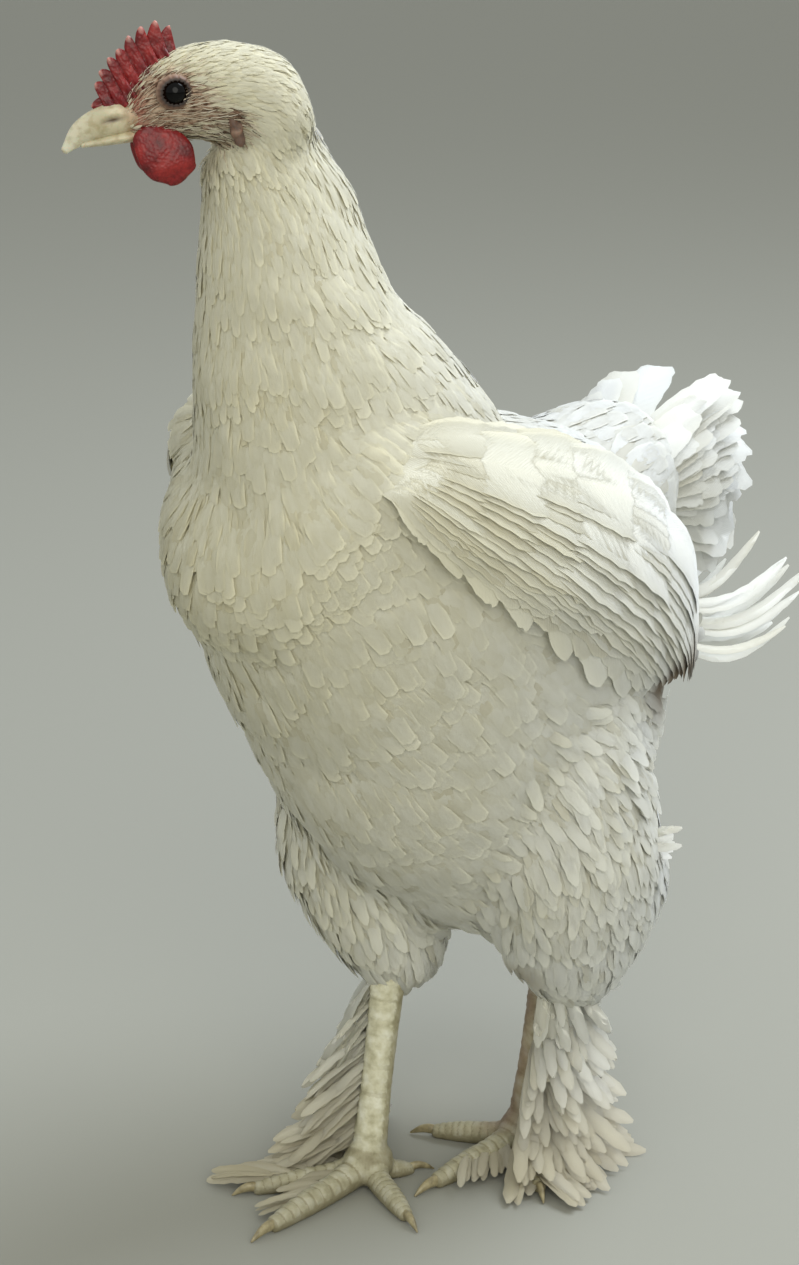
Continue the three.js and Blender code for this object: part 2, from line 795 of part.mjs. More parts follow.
// A toe from the pad to the root of its claw, low arches between its joints
function toeForm(leg, name) {
  const [bearing, length] = leg.toes[name];
  const r = TOE_RADIUS[name];
  const way = directionOf(bearing);
  const toe = length - CLAW_LENGTH[name];
  const at = (share, size, lift) => {
    const middle = leg.joint.clone().addScaledVector(way, toe * share);
    return [middle.x, middle.y, r * size - SOLE_SINK + lift, r * size, r * size, r * size];
  };
  const rows = [at(0.1, 1.1, 2), at(0.35, 0.95, 0.4), at(0.6, 0.9, 0), at(0.8, 0.78, 0), at(1, 0.56, 0.4)];
  return form(rows, {
    steps: 6,
    sides: 8,
    domes: [2, 1.5],
    side: point(way.y, -way.x, 0),
    rings: SMALL_DOME,
  });
}

function clawForm(leg, name) {
  const [bearing, length] = leg.toes[name];
  const r = TOE_RADIUS[name] * 0.42;
  const way = directionOf(bearing);
  const start = length - CLAW_LENGTH[name];
  const at = (share, size, height) => {
    const middle = leg.joint.clone().addScaledVector(way, start + CLAW_LENGTH[name] * share);
    return [middle.x, middle.y, height, r * size * 0.8, r * size, r * size];
  };
  const rows = [at(-0.1, 1, 4), at(0.35, 0.9, 4.2), at(0.7, 0.62, 3), at(1, 0.25, 1)];
  return form(rows, {
    steps: 3,
    sides: 6,
    domes: [0.8, 0.4],
    side: point(way.y, -way.x, 0),
    rings: SMALL_DOME,
  });
}

// A piece as a solid, and the same piece grown by the gap, which its neighbours are cut by
const pieceOf = (make) => ({ solid: make(0), clear: make(GAP) });
const pieceForm = (shape) => pieceOf((grow) => solidForm(shape, grow));
const pieceMirrored = ({ solid, clear }) => ({ solid: mirrored(solid), clear: mirrored(clear) });

// All space above a flat cut, shifted along its normal
function above({ at, up }, shift) {
  const size = 1000;
  const block = new THREE.BoxGeometry(size, size, size).translate(0, 0, size / 2 + shift);
  const turned = new THREE.Quaternion().setFromUnitVectors(point(0, 0, 1), up.clone().normalize());
  block.applyQuaternion(turned).translate(at.x, at.y, at.z);
  block.deleteAttribute("normal");
  block.deleteAttribute("uv");
  return solidOf(mergeVertices(block, 1e-4));
}

// The nodes

const nodes = new Map();
const addNode = (name, piece, ...neighbours) => {
  const cut = neighbours.reduce((solid, { clear }) => solid.subtract(clear), piece.solid);
  nodes.set(name, largest(cut.subtract(underFloor)));
};

const torso = pieceForm(torsoForm);
const neck = pieceForm(neckForm);
const head = pieceForm(headForm);
const tail = pieceForm(tailForm);
const beakUpper = pieceForm(beakUpperForm);
const beakLower = pieceForm(beakLowerForm);
const eyes = { left: pieceOf((grow) => eyeBall(1, grow)), right: pieceOf((grow) => eyeBall(-1, grow)) };

// Torso, neck and head are one flesh, parted by two flat cuts
const flesh = torso.solid.add(neck.solid).add(head.solid);
const headCut = { at: headPoint(-22, 0, -14), up: headWay(0.68, 0.73) };
const neckCut = { at: point(0, -60, 420), up: point(0, -0.25, 0.97) };
addNode("torso", { solid: flesh.subtract(above(neckCut, -GAP / 2)) });
addNode("neck", { solid: flesh.intersect(above(neckCut, GAP / 2)).subtract(above(headCut, -GAP / 2)) });
const face = [1, -1].reduce(
  (solid, side) => solid.add(lidRing(side)).subtract(mouthCorner(side)),
  flesh.intersect(above(headCut, GAP / 2)),
);
addNode("head", { solid: face }, eyes.left, eyes.right);
const bill = [1, -1].reduce(
  (solid, side) => solid.add(nostrilCover(side)).subtract(nostrilSlit(side)),
  beakUpper.solid,
);
addNode("beak_upper", { solid: bill }, head);
addNode("beak_lower", beakLower, head, beakUpper);
addNode("comb", { solid: combSolid() }, head, beakUpper);
addNode("tail", { solid: fused(tail.solid, tailVanes()) }, torso);

const wings = {
  left: { solid: fused(solidForm(wingCoreForm), wingVanes()), clear: solidForm(wingForm, GAP) },
};
wings.right = pieceMirrored(wings.left);

for (const [name, leg] of Object.entries(LEGS)) {
  const { way } = leg;
  addNode(`eye_${name}`, eyes[name]);
  addNode(`wattle_${name}`, pieceForm(wattleForm(way)), head, neck, beakLower);
  addNode(`earlobe_${name}`, pieceForm(lobeForm(way)), head, neck);
  addNode(`wing_${name}`, wings[name], torso, neck, tail);
  const thigh = pieceForm(thighForm(leg));
  const pad = pieceOf((grow) => padBall(leg, grow));
  addNode(`thigh_${name}`, thigh, torso, wings[name]);
  addNode(`foot_${name}`, pad);
  const done = [pad];
  for (const toeName of Object.keys(leg.toes)) {
    const toe = pieceForm(toeForm(leg, toeName));
    const claw = pieceForm(clawForm(leg, toeName));
    const vanes = TOE_FANS[toeName] ? toeVanes(leg, toeName) : [];
    addNode(`toe_${name}_${toeName}`, { solid: fused(toe.solid, vanes) }, ...done);
    addNode(`claw_${name}_${toeName}`, claw, toe);
    done.push(toe, claw);
  }
  const shank = fused(solidForm(shankForm(leg)), bootVanes(leg));
  addNode(`shank_${name}`, { solid: shank }, thigh, ...done);
}
addNode("vent_fluff", { solid: fused(solidForm(ventForm), curlVanes()) }, torso, tail);

// Colours and surfaces, by the first word of a node's name
const FINISHES = {
  comb: { color: 0xb3262a, roughness: 0.55 },
  wattle: { color: 0xa82428, roughness: 0.5 },
  earlobe: { color: 0xc7998a, roughness: 0.7 },
  eye: { color: 0x1d120c, roughness: 0.08 },
  beak: { color: 0xd9cfae, roughness: 0.45 },
  foot: { color: 0xb9b083, roughness: 0.65 },
  toe: { color: 0xb9b083, roughness: 0.65 },
  claw: { color: 0x8d8468, roughness: 0.4 },
};
const PLUMAGE = { color: 0xe9e6d8, roughness: 0.9 };

// The nodes in one group, moved so that the origin lies under the middle of the bird's box
const bird = new THREE.Group();
for (const [name, solid] of nodes) {
  const finish = FINISHES[name.split("_")[0]] ?? PLUMAGE;
  const material = new THREE.MeshStandardMaterial({ ...finish, metalness: 0 });
  const mesh = new THREE.Mesh(geometryOf(solid), material);
  mesh.name = name;
  bird.add(mesh);
}
const box = new THREE.Box3().setFromObject(bird);
const middle = box.getCenter(new THREE.Vector3());
bird.position.set(-middle.x, -middle.y, -box.min.z);
export default bird;
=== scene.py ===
# %% [markdown]
# # A young white Brahma chicken
# The bird stands in mid-stride with its head turned to its right. Its body is one skin, and on the skin
# lie more than twenty thousand feathers. The frame holds the plain solids of the same bird, so every piece
# here is worked out from the same few sizes, in millimetres, and moved to where the frame stands.

# %% Load the frame
import math

import bpy
import numpy as np
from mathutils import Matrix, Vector, kdtree, noise


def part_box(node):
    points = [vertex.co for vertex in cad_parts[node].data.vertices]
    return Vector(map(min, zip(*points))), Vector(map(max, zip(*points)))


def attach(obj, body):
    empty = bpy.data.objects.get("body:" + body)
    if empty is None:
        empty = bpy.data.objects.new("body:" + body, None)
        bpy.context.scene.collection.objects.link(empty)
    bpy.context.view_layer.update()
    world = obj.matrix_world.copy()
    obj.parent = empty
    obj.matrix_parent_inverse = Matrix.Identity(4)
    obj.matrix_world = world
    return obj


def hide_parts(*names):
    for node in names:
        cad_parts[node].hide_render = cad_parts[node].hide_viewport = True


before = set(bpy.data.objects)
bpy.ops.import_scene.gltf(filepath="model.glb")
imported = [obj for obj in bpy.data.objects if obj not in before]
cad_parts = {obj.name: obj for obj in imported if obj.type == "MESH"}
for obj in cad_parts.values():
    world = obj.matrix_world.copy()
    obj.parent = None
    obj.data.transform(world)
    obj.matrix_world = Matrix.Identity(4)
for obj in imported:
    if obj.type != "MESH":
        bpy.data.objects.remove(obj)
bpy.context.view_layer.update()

# %% [markdown]
# ## One set of sizes
# The head has a frame of its own: forward along the bill, to the bird's left, and up. The solids were
# centred on the floor after they were made, so the place of one eye tells how far everything moved.

# %% Sizes that the whole bird shares
MM = 0.001
BODY_WIDTH = 184
SKULL = np.array([-22.0, -121.0, 567.0])
HEAD_TURN = math.radians(35)
HEAD_DROP = math.radians(12)
EYE = {"ahead": 11, "left": 11.4, "up": 5, "radius": 6.4}


def unit(v):
    v = np.asarray(v, float)
    return v / np.maximum(np.linalg.norm(v, axis=-1, keepdims=True), 1e-9)


forward = np.array([
    -math.sin(HEAD_TURN) * math.cos(HEAD_DROP),
    -math.cos(HEAD_TURN) * math.cos(HEAD_DROP),
    -math.sin(HEAD_DROP),
])
leftward = np.array([math.cos(HEAD_TURN), -math.sin(HEAD_TURN), 0.0])
upward = np.cross(forward, leftward)
upward = upward if upward[2] > 0 else -upward


def head_point(ahead, left, up):
    return SKULL + ahead * forward + left * leftward + up * upward


def head_row(ahead, left, up, *reaches):
    return [*head_point(ahead, left, up), *reaches]


eye_low, eye_high = (np.array(corner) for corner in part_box("eye_left"))
SHIFT = (eye_low + eye_high) / 2 / MM - head_point(EYE["ahead"], EYE["left"], EYE["up"])
print("the frame stands", SHIFT.round(2), "mm from the drawing")


def placed(points):
    """Drawing millimetres to frame metres."""
    return (np.asarray(points, float) + SHIFT) * MM


# %% [markdown]
# ## Materials from colours and a few nodes
# Colours are written as sRGB hex values, as a colour picker shows them, and turned to the linear values
# that shaders use. One function adds a node with its settings and links, which keeps each material short.


# %% Colour and node helpers
def colour(text):
    parts = [int(text[i:i + 2], 16) / 255 for i in (1, 3, 5)]
    return (*(p / 12.92 if p <= 0.04045 else ((p + 0.055) / 1.055) ** 2.4 for p in parts), 1.0)


def feed(tree, node, inputs):
    """Gives a node's inputs other nodes' outputs, sRGB hex colours or plain values."""
    for key, value in inputs.items():
        if isinstance(value, bpy.types.NodeSocket):
            tree.links.new(value, node.inputs[key])
        else:
            hex_colour = isinstance(value, str) and value.startswith("#")
            node.inputs[key].default_value = colour(value) if hex_colour else value


def add(tree, kind, inputs=None, out=0, stops=(), **settings):
    """Adds a node, with a ramp's stops if it has any, and gives one output, or all where out is None."""
    node = tree.nodes.new(kind)
    for key, value in settings.items():
        setattr(node, key, value)
    feed(tree, node, inputs or {})
    for i, (place, text) in enumerate(stops):
        stop = node.color_ramp.elements[i] if i < 2 else node.color_ramp.elements.new(place)
        stop.position, stop.color = place, colour(text)
    return node.outputs if out is None else node.outputs[out]


def layered(tree, base, *layers):
    """A colour with others laid over it in turn, each given as share, colour and, if not plain, its blend."""
    for share, above, *blend in layers:
        base = add(tree, "ShaderNodeMix", {0: share, 6: base, 7: above}, 2, data_type="RGBA",
                   blend_type=blend[0] if blend else "MIX")
    return base


def new_material(name, roughness, **shader):
    material = bpy.data.materials.new(name)
    material.use_nodes = True
    tree = material.node_tree
    surface = tree.nodes["Principled BSDF"]
    feed(tree, surface, {"Roughness": roughness, **{key.replace("_", " "): shader[key] for key in shader}})
    return material, tree, surface


# %% [markdown]
# ## Camera, floor and light
# The photograph looks down a little on the bird from its left front. Its bright parts are the back, the
# tail and the nape, so the main light is a large soft one above and behind. A weaker one stands in front,
# and an even sky fills the rest.

# %% Camera
PHOTO_HEIGHT = 1265
CAMERA_PLACE = (836.998, -914.192, 690.0)
CAMERA_AZIMUTH, CAMERA_PITCH = 43.0, 17.5
FOCAL_PIXELS = 2650
SENSOR = 36.0
camera_data = bpy.data.cameras.new("camera")
camera_data.sensor_width = SENSOR
camera_data.lens = FOCAL_PIXELS * SENSOR / PHOTO_HEIGHT
camera = bpy.data.objects.new("camera", camera_data)
camera.location = placed(CAMERA_PLACE)
camera.rotation_euler = (math.radians(90 - CAMERA_PITCH), 0, math.radians(CAMERA_AZIMUTH))
bpy.context.collection.objects.link(camera)
bpy.context.scene.camera = camera
print("camera at", tuple(round(v, 3) for v in camera.location), "lens", round(camera_data.lens, 1))

# %% Floor and light
FLOOR_SIZE = 60.0  # so wide that its edge lies outside the view
bpy.ops.mesh.primitive_plane_add(size=FLOOR_SIZE)
floor = bpy.context.object
floor.name = "floor"
floor.data.materials.append(new_material("pale floor", 0.9, Base_Color="#98988F")[0])


def area_light(name, place, target, size, power, tint):
    data = bpy.data.lights.new(name, "AREA")
    data.shape, data.size, data.energy, data.color = "DISK", size, power, colour(tint)[:3]
    light = bpy.data.objects.new(name, data)
    light.location = place
    light.rotation_euler = (Vector(target) - Vector(place)).to_track_quat("-Z", "Y").to_euler()
    bpy.context.collection.objects.link(light)


BIRD_MIDDLE = (0, 0, 0.35)
area_light("sky_behind", (0.5, 1.2, 2.5), BIRD_MIDDLE, 1.8, 62, "#EEF5FF")
area_light("soft_front", (1.9, -1.6, 1.6), BIRD_MIDDLE, 2.4, 37, "#FFFCF0")
world = bpy.data.worlds.new("studio")
world.use_nodes = True
feed(world.node_tree, world.node_tree.nodes["Background"], {"Color": "#E6E9E6", "Strength": 0.8})
bpy.context.scene.world = world
bpy.context.scene.view_settings.view_transform = "Standard"

# %% [markdown]
# ## Forms: ovals along a line
# The bird's masses are closed tubes through oval rings, with a dome on each end. A row gives a ring's
# middle, its half width, and how far it reaches backwards (or up) and forwards (or down). The same rows
# made the solids, so the skin below lies just inside them and leaves room for the feathers.

# %% Form functions
DOME_DEGREES = (78, 64, 50, 36, 22, 10)


def along(rows, t):
    """The values of a list of rows at places t from 0 to 1, on a smooth curve through them."""
    rows = np.asarray(rows, float)
    last = len(rows) - 1
    x = np.clip(np.asarray(t, float), 0, 1) * last
    i = np.clip(x.astype(int), 0, last - 1)
    u = (x - i)[:, None]
    a, b = rows[i], rows[i + 1]
    before, after = rows[np.maximum(i - 1, 0)], rows[np.minimum(i + 2, last)]
    slope_a = (b - before) / np.where(i > 0, 2, 1)[:, None]
    slope_b = (after - a) / np.where(i + 2 <= last, 2, 1)[:, None]
    return (
        (2 * u**3 - 3 * u**2 + 1) * a
        + (u**3 - 2 * u**2 + u) * slope_a
        + (3 * u**2 - 2 * u**3) * b
        + (u**3 - u**2) * slope_b
    )


class Form:
    """A tube through oval rings, closed by domes."""

    def __init__(self, rows, domes, side=(1, 0, 0)):
        self.rows, self.domes, self.side = rows, domes, np.asarray(side, float)

    def rings(self, t):
        t = np.asarray(t, float)
        here = along(self.rows, t)
        step = 0.01
        low, high = along(self.rows, np.maximum(t - step, 0)), along(self.rows, np.minimum(t + step, 1))
        run = unit(high[:, :3] - low[:, :3])
        side = unit(self.side - run * (run @ self.side)[:, None])
        return {
            "middle": here[:, :3],
            "run": run,
            "side": side,
            "back": np.cross(side, run),
            "width": here[:, 3],
            "reach": here[:, 4:6],
        }

    def grid(self, steps, sides, grow=0.0):
        """Points [ring, side, xyz] of the whole surface, the rings' places t, and the two poles."""
        dome = np.radians(DOME_DEGREES)
        t = np.concatenate([np.zeros(len(dome)), np.linspace(0, 1, steps + 1), np.ones(len(dome))])
        shrink = np.concatenate([np.cos(dome), np.ones(steps + 1), np.cos(dome[::-1])])
        push = np.concatenate([
            -(self.domes[0] + grow) * np.sin(dome),
            np.zeros(steps + 1),
            (self.domes[1] + grow) * np.sin(dome[::-1]),
        ])
        r = self.rings(t)
        middle = r["middle"] + r["run"] * push[:, None]
        angle = np.linspace(0, 2 * np.pi, sides, endpoint=False)
        reach = np.where(np.sin(angle)[None] >= 0, r["reach"][:, :1], r["reach"][:, 1:])
        across = np.cos(angle)[None] * (r["width"][:, None] + grow) * shrink[:, None]
        over = np.sin(angle)[None] * (reach + grow) * shrink[:, None]
        points = (
            middle[:, None]
            + across[..., None] * r["side"][:, None]
            + over[..., None] * r["back"][:, None]
        )
        poles = (
            r["middle"][0] - r["run"][0] * (self.domes[0] + grow),
            r["middle"][-1] + r["run"][-1] * (self.domes[1] + grow),
        )
        return points, t, r["run"], poles


def tube_faces(rings, sides, start=0):
    """Quads of a tube whose points are numbered ring by ring."""
    i = np.arange(rings - 1)[:, None] * sides
    j = np.arange(sides)[None]
    k = (j + 1) % sides
    return (np.stack([i + j, i + k, i + sides + k, i + sides + j], -1) + start).reshape(-1, 4)


def closed_tube(points, poles):
    """Vertices and faces of a closed tube from its grid of points and its two poles."""
    rings, sides = points.shape[:2]
    vertices = np.concatenate([points.reshape(-1, 3), np.array(poles)])
    faces = tube_faces(rings, sides).tolist()
    first, last = rings * sides, rings * sides + 1
    for j in range(sides):
        k = (j + 1) % sides
        faces.append([first, k, j])
        faces.append([last, (rings - 1) * sides + j, (rings - 1) * sides + k])
    return vertices, faces


def new_piece(name, vertices, faces, material=None, smooth=True):
    """A mesh object at the origin from drawing millimetres, its faces turned outwards."""
    mesh = bpy.data.meshes.new(name)
    mesh.from_pydata(placed(vertices).tolist(), [], [list(f) for f in faces])
    mesh.validate()
    volume = sum(p.center.dot(p.normal) * p.area for p in mesh.polygons)
    if volume < 0:
        mesh.flip_normals()
    mesh.polygons.foreach_set("use_smooth", [smooth] * len(mesh.polygons))
    piece = bpy.data.objects.new(name, mesh)
    bpy.context.collection.objects.link(piece)
    if material:
        mesh.materials.append(material)
    return piece


# %% The rows of every form
HALF = BODY_WIDTH / 2
WING_ROWS = [
    [58, -88, 408, 25, 12, 16],
    [76, -52, 388, 36, 14, 20],
    [86, 0, 360, 43, 14, 22],
    [84, 52, 330, 45, 13, 20],
    [73, 98, 298, 36, 9, 12],
    [63, 126, 272, 16, 4, 5],
]
WING_CORE_WIDTH = 0.82
WING_CORE_DEPTHS = [5, 5, 4, 3, 3, 2]
ACROSS_WING = (0.26, -0.59, -0.76)


def mirrored(rows):
    return [[-row[0], *row[1:]] for row in rows]


wing_core_rows = [
    [*row[:3], row[3] * WING_CORE_WIDTH, depth, row[5]] for row, depth in zip(WING_ROWS, WING_CORE_DEPTHS)
]
FORMS = {
    "torso": Form([
        [0, -98, 380, HALF * 0.72, 56, 66],
        [0, -44, 350, HALF * 0.95, 78, 106],
        [0, 22, 316, HALF * 0.98, 92, 152],
        [0, 84, 298, HALF * 0.86, 88, 168],
        [0, 138, 300, HALF * 0.5, 58, 88],
    ], (34, 22)),
    "neck": Form([
        [-14, -101, 540, 25, 43, 20],
        [-11, -94, 516, 32, 48, 29],
        [-8, -87, 488, 40, 46, 41],
        [-5, -76, 458, 50, 49, 60],
        [0, -60, 426, 62, 56, 80],
        [0, -40, 390, 74, 66, 92],
        [0, -22, 356, 76, 52, 84],
    ], (12, 12)),
    "head": Form([
        head_row(33, 0, -5, 8, 7, 9),
        head_row(22, 0, -1, 12.5, 15, 15),
        head_row(6, 0, 1, 16.5, 20.5, 20),
        head_row(-12, 0, -1, 19, 21.5, 24),
        head_row(-28, 0, -8, 21, 20, 26),
        head_row(-38, 0, -20, 22, 14, 26),
    ], (3, 10), leftward),
    "tail": Form([
        [0, 104, 342, 58, 50, 52],
        [0, 134, 349, 50, 46, 60],
        [0, 158, 350, 36, 38, 48],
        [0, 180, 350, 22, 26, 34],
    ], (10, 12)),
    "vent": Form([
        [4, 136, 290, 40, 34, 44],
        [7, 160, 282, 34, 26, 32],
        [12, 184, 274, 24, 14, 18],
    ], (12, 10)),
    "thigh_right": Form([
        [-38, -14, 246, 32, 52, 42],
        [-41, -12, 204, 34, 52, 42],
        [-39, -4, 164, 38, 50, 38],
        [-32, 5, 132, 29, 46, 28],
        [-29, 14, 106, 21, 40, 18],
    ], (20, 8)),
    "thigh_left": Form([
        [46, 36, 246, 42, 60, 46],
        [47, 44, 204, 44, 66, 48],
        [45, 54, 164, 43, 72, 44],
        [41, 66, 130, 36, 75, 36],
        [38, 78, 104, 25, 60, 24],
    ], (20, 8)),
    "wing_left": Form(wing_core_rows, (12, 2), ACROSS_WING),
    "wing_right": Form(mirrored(wing_core_rows), (12, 2), (-ACROSS_WING[0], *ACROSS_WING[1:])),
}
# How deep the skin lies under the tips of the feathers, in mm
COAT_DEPTH = {"torso": 3.5, "neck": 3.5, "head": 1.0, "tail": 6, "vent": 7, "thigh_right": 6, "thigh_left": 6,
              "wing_left": 1, "wing_right": 1}

# %% [markdown]
# ## One skin
# Under its feathers a bird is one surface, with no seam where the neck meets the body. The forms are
# joined as they are, and a voxel remesh makes one closed surface of them. A few rounds of smoothing melt
# the creases between the masses, and the head, whose shape is crisp, is smoothed much less.

# %% Join the forms and remesh them
VOXEL = 0.0023
SMOOTHING = 60
SWELL = 0.0022  # how far the plumage heaps up and sinks in, in metres


def joined_skin(name, forms, voxel, steps, sides, depths, smooth):
    """One closed mesh of some overlapping forms, each drawn in by its depth, if it has one."""
    parts = []
    for key, form in forms.items():
        points, _, _, poles = form.grid(steps, sides, -depths.get(key, 0))
        parts.append(new_piece("part_" + key, *closed_tube(points, poles)))
    bpy.ops.object.select_all(action="DESELECT")
    for part in parts:
        part.select_set(True)
    whole = parts[0]
    bpy.context.view_layer.objects.active = whole
    bpy.ops.object.join()
    whole.name = name
    remesh = whole.modifiers.new("remesh", "REMESH")
    remesh.mode, remesh.voxel_size, remesh.use_smooth_shade = "VOXEL", voxel, smooth
    mesh = bpy.data.meshes.new_from_object(whole.evaluated_get(bpy.context.evaluated_depsgraph_get()))
    whole.modifiers.clear()
    whole.data = mesh
    mesh.name = name
    return whole


def coordinates(mesh):
    co = np.empty(len(mesh.vertices) * 3)
    mesh.vertices.foreach_get("co", co)
    return co.reshape(-1, 3)


def moved_to(mesh, co):
    """Moves a mesh's vertices and gives their new normals."""
    mesh.vertices.foreach_set("co", co.ravel())
    mesh.update()
    normals = np.empty(len(co) * 3)
    mesh.vertices.foreach_get("normal", normals)
    return normals.reshape(-1, 3)


def edges_of(mesh):
    pairs = np.empty(len(mesh.edges) * 2, int)
    mesh.edges.foreach_get("vertices", pairs)
    return pairs.reshape(-1, 2)


def smoothed(co, pairs, rounds, strength):
    """Moves each vertex towards the middle of its neighbours, as far as its own strength says."""
    count = np.bincount(pairs.ravel(), minlength=len(co))[:, None]
    for _ in range(rounds):
        total = np.stack([
            np.bincount(pairs[:, 0], co[pairs[:, 1], axis], len(co))
            + np.bincount(pairs[:, 1], co[pairs[:, 0], axis], len(co))
            for axis in range(3)
        ], 1)
        co = co + (total / count - co) * strength[:, None]
    return co


def to_head(co):
    """Frame metres to the head's own millimetres: ahead, left, up."""
    away = np.asarray(co) / MM - SHIFT - SKULL
    return np.stack([away @ forward, away @ leftward, away @ upward], -1)


HEAD_FADE = (-28, 25)  # behind which place of the head the smoothing grows, and over how many mm
skin = joined_skin("skin", FORMS, VOXEL, 40, 48, COAT_DEPTH, False)
co = coordinates(skin.data)
head_ahead = to_head(co)[:, 0] + 0.6 * to_head(co)[:, 2]
soft = np.clip((HEAD_FADE[0] - head_ahead) / HEAD_FADE[1], 0.12, 1)
co = smoothed(co, edges_of(skin.data), SMOOTHING, 0.6 * soft)
normals = moved_to(skin.data, co)
swell = np.array([noise.noise(Vector(c) * 22) + 0.5 * noise.noise(Vector(c) * 55) for c in co])
co = co + normals * (swell * SWELL * soft)[:, None]
normals = moved_to(skin.data, co)
print("skin:", len(co), "vertices")

# %% [markdown]
# ## Which way the feathers lie
# Feathers point away from the bill: down the neck, back over the body and down the legs. Each form knows
# its own direction, so each place on the skin takes a blend of the directions of the forms near it. The
# same blend gives how long the feathers are there.

# %% Nearest places on the forms
FIELD_STEPS, FIELD_SIDES = 44, 44


def search_tree(points):
    tree = kdtree.KDTree(len(points))
    for i, point in enumerate(points):
        tree.insert(point, i)
    tree.balance()
    return tree


class Field:
    """Finds the nearest place on each of some forms, and what the form says there."""

    def __init__(self, forms, depths):
        self.names = list(forms)
        self.trees, self.t, self.angle, self.run = [], [], [], []
        for name in self.names:
            grid, t, run, _ = forms[name].grid(FIELD_STEPS, FIELD_SIDES, -depths.get(name, 0))
            self.trees.append(search_tree(placed(grid).reshape(-1, 3)))
            self.t.append(np.repeat(t, FIELD_SIDES))
            self.angle.append(np.tile(np.arange(FIELD_SIDES) / FIELD_SIDES, len(t)))
            self.run.append(np.repeat(run, FIELD_SIDES, axis=0))

    def nearest(self, points):
        """Index on each form and distance to it, as arrays [form, point]."""
        index = np.empty((len(self.names), len(points)), int)
        distance = np.empty((len(self.names), len(points)))
        for row, tree in enumerate(self.trees):
            found = [tree.find(point)[1:] for point in points]
            index[row] = [f[0] for f in found]
            distance[row] = [f[1] for f in found]
        return index, distance


field = Field(FORMS, COAT_DEPTH)
index, distance = field.nearest(co)
BLEND = 0.011
weight = np.exp(-((distance - distance.min(0)) / BLEND) ** 2)
weight /= weight.sum(0)
share = dict(zip(field.names, weight))
t_of = {name: field.t[row][index[row]] for row, name in enumerate(field.names)}
run = sum(weight[row][:, None] * field.run[row][index[row]] for row in range(len(field.names)))
print("field over", len(field.names), "forms")

# %% Lie, length and regions on the skin
BREAST_FALL = 0.7
fall = BREAST_FALL * share["torso"] * np.clip(0.75 - t_of["torso"], 0, 1)
lie = run + fall[:, None] * np.array([0, 0, -1.0])
lie = unit(lie - normals * (lie * normals).sum(1)[:, None])
# Neighbours lean the same way, so the lie wanders in soft waves rather than feather by feather
WAVE_SCALE, WAVE_TURN = 34.0, 0.34
wave = np.array([noise.noise(Vector(c) * WAVE_SCALE) for c in co]) * WAVE_TURN * (1 - share["head"])
lie = unit(lie * np.cos(wave)[:, None] + np.cross(normals, lie) * np.sin(wave)[:, None])


def from_to(a, b, share):
    return a + (b - a) * share


# Feather length in mm on each form, from its first ring to its last
LENGTHS = {"torso": (20, 27), "neck": (13, 20), "head": (5, 8), "tail": (24, 32), "vent": (24, 30),
           "thigh_right": (20, 22), "thigh_left": (20, 24), "wing_left": (16, 20), "wing_right": (16, 20)}
length = sum(share[name] * from_to(*LENGTHS[name], np.clip(t_of[name], 0, 1)) for name in field.names) * MM
head_place = to_head(co)


def set_attribute(mesh, name, values, kind="FLOAT"):
    attribute = mesh.attributes.new(name, kind, "POINT")
    key = "vector" if kind == "FLOAT_VECTOR" else "value"
    attribute.data.foreach_set(key, np.asarray(values, np.float32).ravel())


# The bare face: in front of the ear, under the brow
BARE = [
    # middle and reach in the head's own mm, ahead and up: round the eye, then down to the ear
    ((16, 0), (21, 16)),
    ((-6, -14), (11, 10)),
]
bare = np.max([1.35 - (((head_place[:, [0, 2]] - np.array(middle)) / np.array(reach)) ** 2).sum(1)
               for middle, reach in BARE], axis=0)
bare = np.clip(bare, 0, 1) * share["head"]
on_wing = np.maximum(share["wing_left"], share["wing_right"])
wing_front = np.clip(1.5 - 3 * np.maximum(t_of["wing_left"] * share["wing_left"],
                                          t_of["wing_right"] * share["wing_right"]), 0, 1)
ahead_of_middle = (co[:, 1] < placed([0, 10, 0])[1]).astype(float)
UPPER_NECK = 0.5
REGIONS = {
    "head": share["head"] * (1 - bare),
    "face": bare,
    "nape": share["neck"] * (t_of["neck"] < UPPER_NECK),
    "neck": share["neck"] * (t_of["neck"] >= UPPER_NECK),
    "breast": share["torso"] * ahead_of_middle,
    "saddle": share["torso"] * (1 - ahead_of_middle),
    "thighs": np.maximum(share["thigh_left"], share["thigh_right"]),
    "rump": np.maximum(share["tail"], share["vent"]),
    "shoulders": on_wing * wing_front,
}
mesh = skin.data
set_attribute(mesh, "lie", lie, "FLOAT_VECTOR")
set_attribute(mesh, "feather_length", length)
for name, values in REGIONS.items():
    set_attribute(mesh, "on_" + name, np.clip(values, 0, 1))
print({name: round(float(values.mean()), 3) for name, values in REGIONS.items()})
